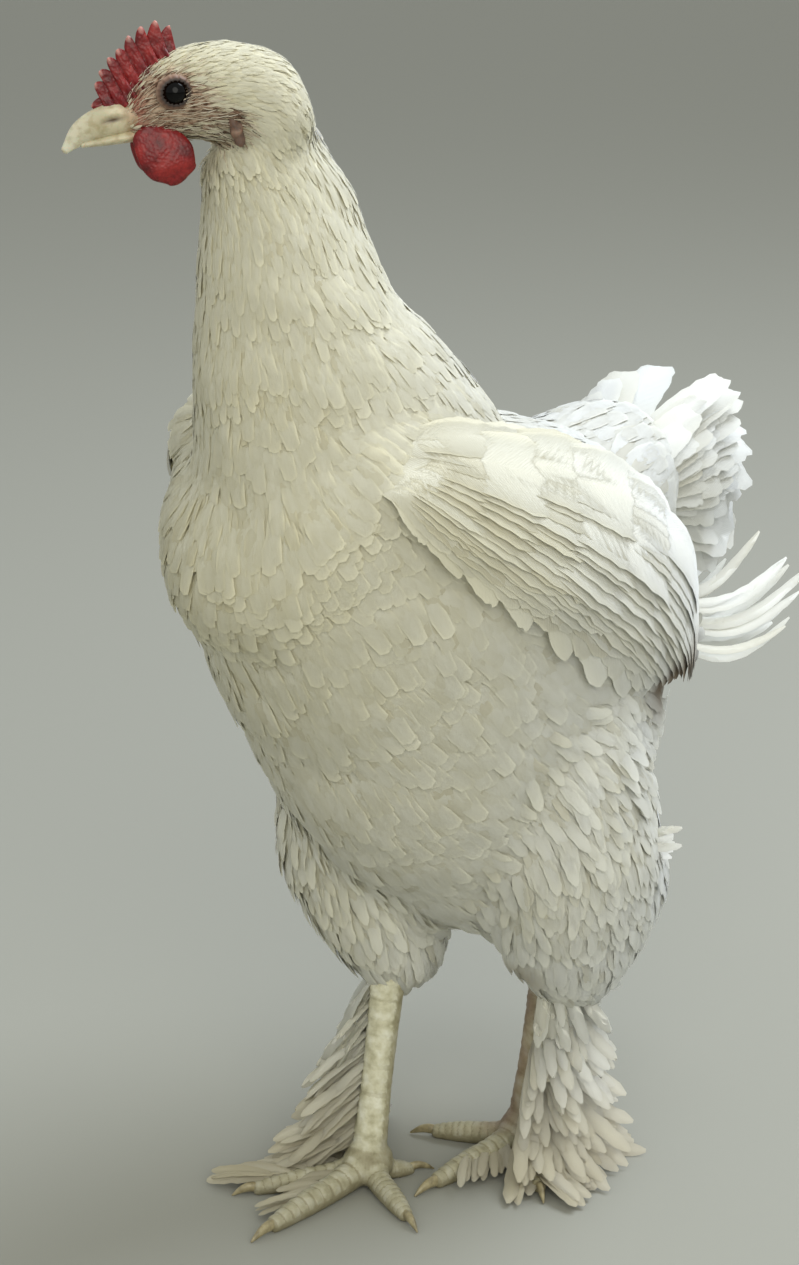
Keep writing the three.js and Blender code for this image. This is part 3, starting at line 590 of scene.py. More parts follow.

# %% [markdown]
# ## Plumage
# The bird's feathers are keratin, which is colourless, and they look white because their barbs scatter
# light. White feathers are never one white: the breast is cream, partly its own colour and partly painted
# shade, the back is white, each feather has its own tone, the plumage is darker towards the floor, and the
# wing tip carries a brown stain. The skin under the feathers is painted by the same rule, so that no gap
# between two feathers shows another colour.

# %% Plumage materials
BARB_COUNT = 46  # barbs along a feather: real ones are 0.3 mm apart, drawn about twice as coarse
BARB_SLANT = -0.35
STAIN_CORE = {"plumage": 0.35, "legs": 0.4}  # the share of a stain's reach that has its full strength
STAINS = [
    # middle in drawing mm, reach in mm, colour, strength
    ((68, 110, 267), 30, "#6E5436", 0.85),
    ((70, 98, 178), 15, "#FFFFFF", 0.9),
    (tuple(head_point(-9, 16, -15)), 8.5, "#6A523C", 0.55),
    (tuple(head_point(10, 4, -24)), 17, "#9C8C70", 0.5),
    ((40, 30, 112), 17, "#8F7C58", 0.45),
    ((24, 62, 60), 26, "#8A7350", 0.55),
]
CREAM, WHITE, NEAR_FLOOR_TONE = "#EAE5C9", "#EFF1F0", "#B7AB8C"


def stained(tree, base, place, stains, core):
    """A colour with round stains over it, each fading out at its reach."""
    for middle, reach, text, strength in stains:
        away = add(tree, "ShaderNodeVectorMath", {0: place, 1: placed(middle)}, "Value", operation="DISTANCE")
        near = add(tree, "ShaderNodeMapRange", {"Value": away, "From Min": reach * MM,
                                                "From Max": reach * MM * core, "To Max": strength})
        base = layered(tree, base, (near, text))
    return base


def markings(tree):
    """The plumage's colour at a place on the bird: cream breast, partly painted shade, white back, darker
    near the floor, and stains.
    """
    place = add(tree, "ShaderNodeTexCoord", out="Object")
    split = add(tree, "ShaderNodeSeparateXYZ", {"Vector": place}, None)
    # Cream towards the breast, white towards the back: the breast's cream is partly its own colour and partly
    # painted shade
    back = add(tree, "ShaderNodeMapRange", {"Value": split["Y"], "From Min": -0.19, "From Max": 0.06})
    patch = add(tree, "ShaderNodeTexNoise", {"Vector": place, "Scale": 14.0, "Detail": 3.0})
    faint = add(tree, "ShaderNodeMapRange",
                {"Value": patch, "From Min": 0.42, "From Max": 0.7, "To Max": 0.3})
    # Greyer and browner towards the floor, over the foot feathers
    low = add(tree, "ShaderNodeMapRange",
              {"Value": split["Z"], "From Min": 0.085, "From Max": 0.0, "To Max": 0.75})
    base = layered(tree, CREAM, (back, WHITE), (faint, CREAM), (low, NEAR_FLOOR_TONE))
    return stained(tree, base, place, STAINS, STAIN_CORE["plumage"])


plumage, tree, surface = new_material("keratin feather vanes", 0.85, Specular_IOR_Level=0.2,
                                      Subsurface_Weight=0.4, Subsurface_Radius=(1.0, 0.95, 0.88),
                                      Subsurface_Scale=0.004)
tone = add(tree, "ShaderNodeAttribute", out="Fac", attribute_name="tone")
shade = add(tree, "ShaderNodeValToRGB", {0: tone}, stops=[(0, "#ECE8DB"), (0.4, "#FAF9F4"), (1, "#FFFFFF")])
base = layered(tree, markings(tree), (0.8, shade, "MULTIPLY"))
barb = add(tree, "ShaderNodeAttribute", out="Vector", attribute_name="barb")
split = add(tree, "ShaderNodeSeparateXYZ", {"Vector": barb}, None)
across = add(tree, "ShaderNodeMath", {0: split["X"]}, operation="ABSOLUTE")
order = add(tree, "ShaderNodeMath", {0: across, 1: BARB_SLANT, 2: split["Y"]}, operation="MULTIPLY_ADD")
turns = add(tree, "ShaderNodeMath", {0: order, 1: BARB_COUNT * 2 * math.pi}, operation="MULTIPLY")
ridges = add(tree, "ShaderNodeMath", {0: turns}, operation="SINE")
bump = add(tree, "ShaderNodeBump", {"Height": ridges, "Strength": 0.12, "Distance": 0.0003})
feed(tree, surface, {"Base Color": base, "Normal": bump})

skin_finish, tree, surface = new_material("feathered skin", 0.9)
feed(tree, surface, {"Base Color": markings(tree)})
skin.data.materials.clear()
skin.data.materials.append(skin_finish)

# %% [markdown]
# ## One feather
# A feather is a shaft with barbs that lean towards its tip and end in a fine fringe. It is modelled as a
# thin closed blade: two rows of points along the shaft, above and below, and an edge where every second
# point is drawn in, so that the barbs' ends show as teeth. With about twenty-five faces it can be
# repeated thousands of times.


# %% Feather shape
def feather(rows, width, notch=0.8, lean=(62, 14), camber=0.1, droop=0.1, thickness=0.012, fullness=0.6,
            rounding=0.0):
    """Vertices, faces and barb places of a feather one unit long, root at the origin, tip along +Y."""
    s = np.linspace(0, 1, rows + 1)
    blunt = math.sqrt(1 - rounding)
    shaft = s * (1 - 0.45 * width * blunt)
    angle = np.radians(lean[0] + (lean[1] - lean[0]) * s**1.3)
    half = width / 2 * (0.3 + 0.7 * np.clip(s / 0.45, 0, 1) ** fullness)
    half = half * np.sqrt(1 - rounding * np.clip((s - 0.7) / 0.3, 0, 1) ** 2)
    tooth = np.where(np.arange(rows + 1) % 2 == 1, notch, 1.0)
    x = half * np.sin(angle) * tooth
    y = shaft + half * np.cos(angle) * tooth

    def height(along_it, across):
        arch = 0.06 * np.sin(np.pi * along_it) - droop * along_it**2
        return arch - camber * width * (2 * across / width) ** 2

    zero = np.zeros(rows + 1)
    top = np.stack([zero, shaft, height(shaft, 0) + thickness / 2], 1)
    bottom = np.stack([zero, shaft, height(shaft, 0) - thickness / 2], 1)
    right = np.stack([x, y, height(y, x)], 1)
    left = np.stack([-x, y, height(y, x)], 1)
    tip = np.array([[0, 1.0, height(1.0, 0)]])
    vertices = np.concatenate([top, right, left, bottom, tip])
    n = rows + 1
    faces = []
    for i in range(rows):
        t, r, l, b = i, n + i, 2 * n + i, 3 * n + i
        faces += [[t, r, r + 1, t + 1], [t, t + 1, l + 1, l], [b, b + 1, r + 1, r], [b, l, l + 1, b + 1]]
    t, r, l, b, end = n - 1, 2 * n - 1, 3 * n - 1, 4 * n - 1, 4 * n
    faces += [[t, r, end], [t, end, l], [b, end, r], [b, l, end], [2 * n, 3 * n, n, 0]]
    barbs = np.stack([2 * vertices[:, 0] / width, vertices[:, 1], np.zeros(len(vertices))], 1)
    return vertices, faces, barbs


def outline_of(count):
    """Which vertices of a feather lie on its outline, from how many it has."""
    n = (count - 1) // 4
    order = np.arange(count)
    return ((order >= n) & (order < 3 * n)) | (order == 4 * n)


def crisp_outline(mesh, on_outline):
    """Marks the edges along the outline as sharp, so that a feather stays a flat blade to the eye."""
    pairs = edges_of(mesh)
    sharp = mesh.attributes.new("sharp_edge", "BOOLEAN", "EDGE")
    sharp.data.foreach_set("value", on_outline[pairs[:, 0]] & on_outline[pairs[:, 1]])


def feather_object(name, rows, width, **shape):
    vertices, faces, barbs = feather(rows, width, **shape)
    mesh = bpy.data.meshes.new(name)
    mesh.from_pydata(vertices.tolist(), [], faces)
    mesh.shade_smooth()
    set_attribute(mesh, "barb", barbs, "FLOAT_VECTOR")
    crisp_outline(mesh, outline_of(len(vertices)))
    source = bpy.data.objects.new(name, mesh)
    bpy.context.collection.objects.link(source)
    return source


SHAPES = {
    "round": feather_object("shape_round", 5, 0.5, notch=0.95, lean=(60, 34), camber=0.05, droop=0.03,
                            thickness=0.006, rounding=0.94),
    "hackle": feather_object("shape_hackle", 5, 0.44, notch=0.94, lean=(50, 24), camber=0.04, droop=0.03,
                             thickness=0.006, rounding=0.86),
    "down": feather_object("shape_down", 6, 0.42, notch=0.86, lean=(56, 22), droop=0.04, camber=0.05,
                           thickness=0.006, rounding=0.86),
    "crown": feather_object("shape_crown", 4, 0.42, notch=0.9, lean=(50, 18), camber=0.05, droop=0.03,
                            rounding=0.7),
    "bristle": feather_object("shape_bristle", 2, 0.14, notch=0.9, lean=(30, 8), thickness=0.05),
}
print({name: len(source.data.polygons) for name, source in SHAPES.items()})

# %% [markdown]
# ## The coat
# Feathers repeat over a surface, which is work for Geometry Nodes: points are spread so that no two are
# too close, each takes a feather that lies along the skin's own direction, tipped up a little and varied
# at random from a fixed seed. The feathers are then made real and kept as a plain mesh.


# %% The coat's tree
TIP_SHARES = (0.55, 1.45)  # the least and most that a feather is tipped up, as shares of the coat's lift
SIZE_SHARES = (0.8, 1.2)


def coat_tree():
    tree = bpy.data.node_groups.new("coat", "GeometryNodeTree")
    sockets = {}
    for name, kind in (
        ("Skin", "Geometry"), ("Feather", "Object"), ("Material", "Material"), ("Region", "String"),
        ("Spacing", "Float"), ("Lift", "Float"), ("Sway", "Float"), ("Seed", "Int"),
    ):
        socket = tree.interface.new_socket(name=name, in_out="INPUT", socket_type="NodeSocket" + kind)
        sockets[name] = socket.identifier
    tree.interface.new_socket(name="Coat", in_out="OUTPUT", socket_type="NodeSocketGeometry")
    given = add(tree, "NodeGroupInput", out=None)
    seed = given["Seed"]
    region = add(tree, "GeometryNodeInputNamedAttribute", {"Name": given["Region"]}, data_type="FLOAT")
    spread = add(tree, "GeometryNodeDistributePointsOnFaces", {
        "Mesh": given["Skin"], "Distance Min": given["Spacing"], "Density Max": 1e7, "Density Factor": region,
        "Seed": seed,
    }, None, distribute_method="POISSON")
    place = add(tree, "GeometryNodeInputPosition")
    rooted = add(tree, "GeometryNodeStoreNamedAttribute",
                 {"Geometry": spread["Points"], "Name": "root", "Value": place},
                 data_type="FLOAT_VECTOR", domain="POINT")
    lie = add(tree, "GeometryNodeInputNamedAttribute", {"Name": "lie"}, data_type="FLOAT_VECTOR")
    upright = add(tree, "FunctionNodeAlignRotationToVector", {"Vector": spread["Normal"]}, axis="Z")
    laid = add(tree, "FunctionNodeAlignRotationToVector", {"Rotation": upright, "Vector": lie},
               axis="Y", pivot_axis="Z")
    ends = []
    for tip_share, way in zip(TIP_SHARES, (-1.0, 1.0)):
        tip = add(tree, "ShaderNodeMath", {0: given["Lift"], 1: tip_share}, operation="MULTIPLY")
        sway = add(tree, "ShaderNodeMath", {0: given["Sway"], 1: way}, operation="MULTIPLY")
        ends.append(add(tree, "ShaderNodeCombineXYZ", {"X": tip, "Y": sway, "Z": sway}))
    turn = add(tree, "FunctionNodeRandomValue", {0: ends[0], 1: ends[1], "Seed": seed},
               data_type="FLOAT_VECTOR")
    rotation = add(tree, "FunctionNodeEulerToRotation", {0: turn})
    turned = add(tree, "FunctionNodeRotateRotation", {0: laid, 1: rotation}, rotation_space="LOCAL")
    size = add(tree, "GeometryNodeInputNamedAttribute", {"Name": "feather_length"}, data_type="FLOAT")
    vary = add(tree, "FunctionNodeRandomValue", {2: SIZE_SHARES[0], 3: SIZE_SHARES[1], "Seed": seed}, 1,
               data_type="FLOAT")
    scale = add(tree, "ShaderNodeMath", {0: size, 1: vary}, operation="MULTIPLY")
    shape = add(tree, "GeometryNodeObjectInfo", {"Object": given["Feather"]}, "Geometry")
    feathers = add(tree, "GeometryNodeInstanceOnPoints",
                   {"Points": rooted, "Instance": shape, "Rotation": turned, "Scale": scale})
    tone = add(tree, "FunctionNodeRandomValue", {"Seed": seed}, 1, data_type="FLOAT")
    toned = add(tree, "GeometryNodeStoreNamedAttribute",
                {"Geometry": feathers, "Name": "tone", "Value": tone},
                data_type="FLOAT", domain="INSTANCE")
    real = add(tree, "GeometryNodeRealizeInstances", {"Geometry": toned})
    finished = add(tree, "GeometryNodeSetMaterial", {"Geometry": real, "Material": given["Material"]})
    add(tree, "NodeGroupOutput", {0: finished}, None)
    return tree, sockets


COAT, COAT_SOCKETS = coat_tree()

# %% [markdown]
# Each feather also gets its own small patch on a map called OFBake, at the place of its root on an unwrap
# of the forms: nine forms in a square of nine cells, with the way round each form to the right and the way
# along it upwards. A texture baked on that map then keeps each feather's colour apart.

# %% Bake patches and the coat's pieces
PATCH = 0.003
CELLS = 3
KEPT_ATTRIBUTES = ("position", "barb", "tone", "sharp_edge", "sharp_face", "material_index")


def unwrap(places, field=field):
    """The place of points, in frame metres, on the nine-cell unwrap of a field's forms."""
    index, distance = field.nearest(places)
    form = distance.argmin(0)
    which = np.arange(len(places))
    t = np.array([field.t[f][index[f, i]] for f, i in zip(form, which)])
    angle = np.array([field.angle[f][index[f, i]] for f, i in zip(form, which)])
    margin = 0.04
    inside = np.stack([angle, t], 1) * (1 - 2 * margin) + margin
    return (np.stack([form % CELLS, form // CELLS], 1) + inside) / CELLS


def corners_of(mesh):
    """The vertex of each corner of each face."""
    corner = np.empty(len(mesh.loops), int)
    mesh.loops.foreach_get("vertex_index", corner)
    return corner


def bake_patches(mesh, roots, barbs):
    """The OFBake map of a mesh of feathers, from each vertex's root on the unwrap and its place."""
    patch = roots + PATCH / 2 * np.stack([np.clip(barbs[:, 0], -1, 1), 2 * barbs[:, 1] - 1], 1)
    layer = mesh.uv_layers.new(name="OFBake")
    layer.data.foreach_set("uv", patch[corners_of(mesh)].astype(np.float32).ravel())


def values_of(mesh, name, width):
    out = np.empty(len(mesh.attributes[name].data) * width, np.float32)
    mesh.attributes[name].data.foreach_get("vector" if width == 3 else "value", out)
    return out.reshape(-1, width)


# %% [markdown]
# Loose barbs carry light over the edges of the feathers, so real plumage looks softer than a stack of
# blades would. Each corner of a feather therefore takes most of its shading direction from the body below.

# %% Soft shading
skin_tree = search_tree(co)


def skin_below(points):
    """The skin vertex nearest to each point, in frame metres, and the point's height over it in mm."""
    below = np.array([skin_tree.find(point)[1] for point in points])
    return below, ((points - co[below]) * normals[below]).sum(1) / MM


def drawn_in(points, below, height, most, share):
    """Points that stand more than most mm over the skin, drawn in towards it by the given share."""
    return points - normals[below] * (np.maximum(height - most, 0) * share * MM)[:, None]


def softened(mesh, share, below):
    """Turns each corner's normal towards the skin's own, by the given share."""
    body = normals[below][corners_of(mesh)]
    own = np.empty(len(body) * 3)
    mesh.corner_normals.foreach_get("vector", own)
    face = np.empty(len(mesh.polygons) * 3)
    mesh.polygons.foreach_get("normal", face)
    corners = np.empty(len(mesh.polygons), int)
    mesh.polygons.foreach_get("loop_total", corners)
    face = np.repeat(face.reshape(-1, 3), corners, axis=0)
    outward = np.where((face * body).sum(1) >= 0, share, -share)[:, None]
    mesh.normals_split_custom_set(unit(own.reshape(-1, 3) * (1 - share) + outward * body).tolist())


# %% Coats
SOFTNESS = 0.86
CLOSENESS = 0.5  # how far a feather that stands off the body is drawn in


def coat(name, region, shape, spacing, lift, sway, seed, most=3.2, material=None):
    piece = bpy.data.objects.new(name, skin.data.copy())
    bpy.context.collection.objects.link(piece)
    nodes = piece.modifiers.new("coat", "NODES")
    nodes.node_group = COAT
    for key, value in {
        "Feather": SHAPES[shape], "Material": material or plumage, "Region": "on_" + region,
        "Spacing": spacing * MM, "Lift": math.radians(lift), "Sway": math.radians(sway), "Seed": seed,
    }.items():
        nodes[COAT_SOCKETS[key]] = value
    mesh = bpy.data.meshes.new_from_object(piece.evaluated_get(bpy.context.evaluated_depsgraph_get()))
    piece.modifiers.clear()
    piece.data = mesh
    mesh.name = name
    each = len(SHAPES[shape].data.vertices)
    roots = unwrap(values_of(mesh, "root", 3)[::each].astype(float))
    bake_patches(mesh, np.repeat(roots, each, axis=0), values_of(mesh, "barb", 3))
    for attribute in [a.name for a in mesh.attributes]:
        if attribute not in KEPT_ATTRIBUTES and not attribute.startswith(".") and attribute != "OFBake":
            mesh.attributes.remove(mesh.attributes[attribute])
    points = coordinates(mesh)
    below, height = skin_below(points)
    mesh.vertices.foreach_set("co", drawn_in(points, below, height, most, CLOSENESS).ravel())
    mesh.update()
    softened(mesh, SOFTNESS, below)
    triangles = sum(len(p.vertices) - 2 for p in mesh.polygons)
    print(f"{name}: {len(roots)} feathers, {triangles} triangles")
    return piece


coats = [
    coat("coat_nape", "nape", "hackle", 2.1, 7, 6, 19, 2.4),
    coat("coat_neck", "neck", "round", 2.9, 7, 8, 11, 2.6),
    coat("coat_breast", "breast", "round", 3.3, 8, 8, 12, 2.6),
    coat("coat_saddle", "saddle", "round", 3.4, 8, 8, 13, 2.6),
    coat("coat_thighs", "thighs", "down", 3.1, 13, 13, 14, 7),
    coat("coat_rump", "rump", "round", 3.2, 9, 10, 15, 4),
    coat("coat_shoulders", "shoulders", "round", 3.3, 7, 8, 16, 2.6),
    coat("coat_head", "head", "crown", 1.45, 7, 8, 17, 1.0),
]

# %% [markdown]
# ## Long feathers
# Flight, tail and foot feathers are few and each lies in its own way, so each is one finer feather bent
# along a path of its own. The path runs from the root to the tip, and the feather's flat side faces the
# way that the surface below it does.


# %% Bending feathers along paths
def bent(shape, path, facing, size):
    """The vertices of a unit feather laid along path(share), its flat side to one way or facing(share)."""
    vertices = shape[0]
    step = 0.01
    share = vertices[:, 1]
    run = unit(path(share + step) - path(share - step))
    up = facing(share) if callable(facing) else np.tile(facing, (len(share), 1))
    up = unit(up - run * (up * run).sum(1)[:, None])
    side = np.cross(run, up)
    return path(share) + size * (vertices[:, :1] * side + vertices[:, 2:] * up)


def turned_about(axis, v, angle):
    """Vectors v turned about unit vectors axis."""
    return v * math.cos(angle) + np.cross(axis, v) * math.sin(angle)


def feathers_piece(name, items, roots_field, softness=0.5):
    """One mesh of many bent feathers, each given as (unit shape, its vertices in drawing mm)."""
    vertices, faces, barbs, tones, roots = [], [], [], [], []
    draw = np.random.default_rng(len(items))
    start = 0
    for shape, points in items:
        vertices.append(points)
        faces += [[i + start for i in face] for face in shape[1]]
        barbs.append(shape[2])
        tones.append(np.full(len(points), draw.uniform()))
        roots.append(points[0])
        start += len(points)
    piece = new_piece(name, np.concatenate(vertices), faces, plumage)
    mesh = piece.data
    barbs = np.concatenate(barbs)
    set_attribute(mesh, "barb", barbs, "FLOAT_VECTOR")
    set_attribute(mesh, "tone", np.concatenate(tones))
    each = [len(points) for _, points in items]
    bake_patches(mesh, np.repeat(unwrap(placed(roots), roots_field), each, axis=0), barbs)
    mesh.shade_smooth()
    crisp_outline(mesh, np.concatenate([outline_of(len(points)) for _, points in items]))
    softened(mesh, softness, skin_below(coordinates(mesh))[0])
    print(f"{name}: {len(items)} feathers, {sum(len(p.vertices) - 2 for p in mesh.polygons)} triangles")
    return piece


def settled(points, most, share=0.85):
    """Drawing points that stand further than most above the skin, drawn in towards it."""
    where = placed(points)
    return drawn_in(where, *skin_below(where), most, share) / MM - SHIFT


def shape_set(count, rows, width, seed, **shape):
    """A few unit feathers with their own frayed edges."""
    draw = np.random.default_rng(seed)
    made = []
    for _ in range(count):
        vertices, faces, barbs = feather(rows, width * draw.uniform(0.92, 1.08), **shape)
        n = rows + 1
        fray = np.ones(n)
        for split in draw.integers(rows // 3, rows - 1, 2):
            fray[split] = draw.uniform(0.84, 0.94)
        for first in (n, 2 * n):
            vertices[first:first + n, 0] *= np.roll(fray, first % 5)
        made.append((vertices, faces, barbs))
    return made


# %% [markdown]
# ## Wings
# A folded wing shows its flight feathers low and behind, and tiers of coverts over their roots, each tier
# shorter than the one below it. The roots and tips of a tier lie on two lines over the wing's face, and
# the feathers between them are spread evenly, each one lapping over the next below.

# %% Wing feathers
WING = Form(WING_ROWS, (14, 8), ACROSS_WING)
WING_FLAT = 0.35  # how much of the wing's fullness the feathers follow
SHINGLE = math.radians(5)
LEAN_OUT = 0.2
WING_SOFTNESS = 0.85
WING_TIERS = [
    # feathers, roots and tips as (t, across) at the lower edge and at the upper one, width, height, row lift
    (15, (0.44, 0.5), (0.56, -0.55), (0.72, 1.12), (1.10, -0.25), 0.30, 1.0),
    (15, (0.33, 0.55), (0.47, -0.6), (0.60, 1.10), (0.95, -0.75), 0.34, 2.2),
    (16, (0.25, 0.55), (0.37, -0.62), (0.48, 1.06), (0.75, -0.80), 0.42, 3.2),
    (17, (0.18, 0.54), (0.27, -0.62), (0.38, 1.03), (0.58, -0.84), 0.50, 4.2),
    (17, (0.11, 0.52), (0.18, -0.60), (0.29, 1.0), (0.44, -0.86), 0.56, 5.0),
    (16, (0.05, 0.48), (0.10, -0.56), (0.21, 0.96), (0.32, -0.86), 0.60, 5.6),
    (14, (-0.01, 0.42), (0.02, -0.50), (0.13, 0.9), (0.20, -0.82), 0.62, 6.2),
]


def on_wing_face(t, across, lift):
    inside = np.clip(t, 0, 1)
    r = WING.rings(inside)
    end = along(WING_ROWS, [0.9, 1.0])[:, :3]
    past = (np.asarray(t) - inside)[:, None] * np.linalg.norm(end[1] - end[0]) * 10
    rise = WING_FLAT * r["reach"][:, 0] * np.sqrt(np.clip(1 - across**2, 0, 1))
    return (r["middle"] + r["run"] * past + r["side"] * (r["width"] * across)[:, None]
            + r["back"] * (rise + lift)[:, None])


def wing_feathers():
    draw = np.random.default_rng(5)
    items = []
    for count, root_low, root_high, tip_low, tip_high, width, lift in WING_TIERS:
        shapes = shape_set(4, 18, width, 40 + count, notch=0.97, lean=(56, 34), droop=0.0, camber=0.03,
                           thickness=0.006, rounding=0.96)
        for i in range(count):
            share = i / (count - 1)
            bow = 0.12 * math.sin(math.pi * share)
            root = from_to(np.array(root_low), np.array(root_high), share)
            tip = from_to(np.array(tip_low), np.array(tip_high), share) + [bow, 0]
            root = root + draw.uniform(-0.012, 0.012, 2)
            tip = tip + draw.uniform(-0.02, 0.02, 2)
            own_lift = lift + draw.uniform(-0.8, 0.8)

            def path(s):
                place = root + (tip - root) * s[:, None]
                rise = from_to(-3, own_lift, np.clip(s / 0.3, 0, 1)) + 1.2 * s
                return on_wing_face(place[:, 0], place[:, 1], rise)

            def facing(s):
                place = root + (tip - root) * s[:, None]
                r = WING.rings(np.clip(place[:, 0], 0, 1))
                up = r["back"] + r["side"] * (place[:, 1:] * LEAN_OUT)
                return turned_about(r["run"], up, -SHINGLE)

            ends = path(np.array([0.0, 1.0]))
            size = np.linalg.norm(ends[1] - ends[0])
            shape = shapes[i % len(shapes)]
            points = bent(shape, path, facing, size)
            low_share = np.clip((from_to(0, 1, 1 - share) - 0.3) / 0.5, 0, 1)
            items.append((shape, from_to(points, settled(points, 2.5 + lift), low_share)))
    return items


left_wing = wing_feathers()
right_wing = [
    ((shape[0], [face[::-1] for face in shape[1]], shape[2]), points * [-1, 1, 1])
    for shape, points in left_wing
]
wing_pieces = [
    feathers_piece("wing_feathers_left", left_wing, field, WING_SOFTNESS),
    feathers_piece("wing_feathers_right", right_wing, field, WING_SOFTNESS),
]

# %% [markdown]
# ## Tail and vent
# A young Brahma's tail is short: two halves of broad feathers that lean together like a low roof, with
# four shorter tiers over their roots. Below it soft feathers hang and curl up at their ends.

# %% Tail feathers
TAIL_ROOT = np.array([0.0, 132.0, 345.0])
TAIL_TIERS = [
    # feathers a side, slopes and rolls from the ridge down in degrees, length, width, out, flare, layer
    (9, (35, -27), (2, 86), 100, 0.42, 5, 12, -0.3),
    (9, (42, -20), (6, 84), 88, 0.42, 8, 14, -0.3),
    (9, (46, -16), (12, 80), 76, 0.44, 11, 16, -0.3),
    (8, (50, -10), (26, 76), 64, 0.44, 14, 19, -0.3),
    (8, (54, -4), (28, 74), 52, 0.50, 17, 22, -0.3),
]


def tail_feathers():
    draw = np.random.default_rng(8)
    items = []
    for way in (1, -1):
        for count, slopes, rolls, length, width, out, flare, layer in TAIL_TIERS:
            shapes = shape_set(5, 18, width, 60 + int(length), notch=0.97, lean=(56, 34), droop=0.0,
                               camber=0.05, thickness=0.006, rounding=0.96)
            for i in range(count):
                share = i / (count - 1)
                slope = math.radians(from_to(*slopes, share) + draw.uniform(-1.5, 1.5))
                spread = math.radians(flare + draw.uniform(-2, 2))
                roll = math.radians(from_to(*rolls, share))
                run_way = np.array([way * math.sin(spread), math.cos(spread) * math.cos(slope),
                                    math.cos(spread) * math.sin(slope)])
                root = TAIL_ROOT + [way * (out + layer * i), 0, 0]
                reach = length * draw.uniform(0.94, 1.04)
                fall = 5 * draw.uniform(0.5, 1.6)

                def path(s):
                    drop = np.array([0, 0, -1.0]) * (fall * s**2)[:, None]
                    return root + run_way * (reach * s)[:, None] + drop

                facing = np.array([way * math.sin(roll), 0, math.cos(roll)])
                shape = shapes[i % len(shapes)]
                items.append((shape, bent(shape, path, facing, reach)))
    return items


# Curled feathers under the tail: a root's x and z, then the tip
CURL_ROOT_Y, CURL_SAG, CURL_STRAY, CURL_REACH = 158, 19, 5, 268
CURLS = [
    ((-6, 286), (2, 252, 292)), ((2, 280), (26, 268, 282)), ((10, 274), (30, 262, 262)),
    ((16, 280), (50, 246, 284)), ((20, 270), (58, 228, 268)), ((-8, 272), (-22, 240, 262)),
    ((-16, 280), (-42, 226, 276)), ((6, 290), (14, 262, 300)), ((12, 284), (38, 258, 274)),
    ((-2, 276), (8, 248, 256)), ((18, 288), (44, 240, 296)), ((-12, 288), (-26, 236, 290)),
]


def curl_feathers():
    draw = np.random.default_rng(9)
    shapes = shape_set(4, 16, 0.105, 71, notch=0.92, lean=(48, 30), droop=0.0, camber=0.05, thickness=0.006,
                       rounding=0.94)
    items = []
    for i, (root, tip) in enumerate(CURLS + CURLS):
        start = np.array([root[0], CURL_ROOT_Y, root[1]], float)
        end = np.array(tip, float) + draw.normal(0, CURL_STRAY, 3)
        end[1] = min(end[1], CURL_REACH)
        sag = CURL_SAG * draw.uniform(0.8, 1.3)

        def path(s):
            hang = sag * np.sin(np.pi * np.clip(s, 0, 1))
            return start + (end - start) * s[:, None] - np.array([0, 0, 1.0]) * hang[:, None]

        twist = from_to(-0.7, 0.8, i % len(CURLS) / (len(CURLS) - 1))
        facing = unit(np.array([0.9 * math.copysign(1, end[0] + 8) + 0.4 * math.sin(twist), -0.3, 0.8]))
        shape = shapes[i % len(shapes)]
        size = np.linalg.norm(end - start)
        items.append((shape, bent(shape, path, facing, size)))
    return items


# A small loose tuft that stands off the left thigh, whiter than the rest
TUFT = {
    "root": (66, 84, 184), "way": (0.74, 0.64, -0.2), "facing": (0.5, -0.75, 0.45),
    "count": 12, "length": 25,
}


def tuft_feathers():
    draw = np.random.default_rng(12)
    shapes = shape_set(3, 10, 0.3, 91, notch=0.88, lean=(50, 26), droop=0.0, camber=0.05, thickness=0.008,
                       rounding=0.86)
    items = []
    for i in range(TUFT["count"]):
        root = np.array(TUFT["root"]) + draw.uniform(-4, 4, 3)
        run_way = unit(np.array(TUFT["way"]) + draw.uniform(-0.3, 0.3, 3))
        reach = TUFT["length"] * draw.uniform(0.75, 1.1)
        facing = np.array(TUFT["facing"]) + draw.uniform(-0.3, 0.3, 3)
        shape = shapes[i % len(shapes)]

        def path(s):
            return root + run_way * (reach * s)[:, None] + np.array([0, 0, 4.0]) * (s**2)[:, None]

        items.append((shape, bent(shape, path, facing, reach)))
    return items


tuft_piece = feathers_piece("thigh_tuft", tuft_feathers(), field, 0.5)
tail_piece = feathers_piece("tail_feathers", tail_feathers(), field)
curl_piece = feathers_piece("vent_feathers", curl_feathers(), field, 0.25)

# %% [markdown]
# ## Legs
# Shank, pad and toes are one scaled skin. They are joined and remeshed as the body was, much finer, and
# then each place is raised by what it is: broad overlapping scutes down the front of the shank and the
# top of each toe, and small pebbles elsewhere.

# %% Leg forms
SHANK_RADIUS = 8.2
PAD = {"width": 12.5, "length": 14, "height": 13}
FEET_APART, STRIDE = 36, 83
TOE_RADIUS = {"inner": 6.4, "middle": 7.2, "outer": 6.4, "hind": 5.4}
CLAW_LENGTH = {"inner": 13, "middle": 15, "outer": 12, "hind": 12}
SOLE_SINK = 0.8
LEGS = {
    "right": {
        "way": -1,
        "hock": np.array([-26.0, 4.0, 112.0]),
        "joint": np.array([-FEET_APART / 2, 20 - STRIDE / 2, 0]),
        "toes": {"inner": (68, 60), "hind": (150, 36), "outer": (-33, 72), "middle": (1, 86)},
    },
    "left": {
        "way": 1,
        "hock": np.array([30.0, 66.0, 110.0]),
        "joint": np.array([FEET_APART / 2, 20 + STRIDE / 2, 0]),
        "toes": {"inner": (-60, 62), "hind": (200, 36), "outer": (50, 62), "middle": (-4, 80)},
    },
}


def direction_of(bearing):
    return np.array([math.sin(math.radians(bearing)), -math.cos(math.radians(bearing)), 0.0])


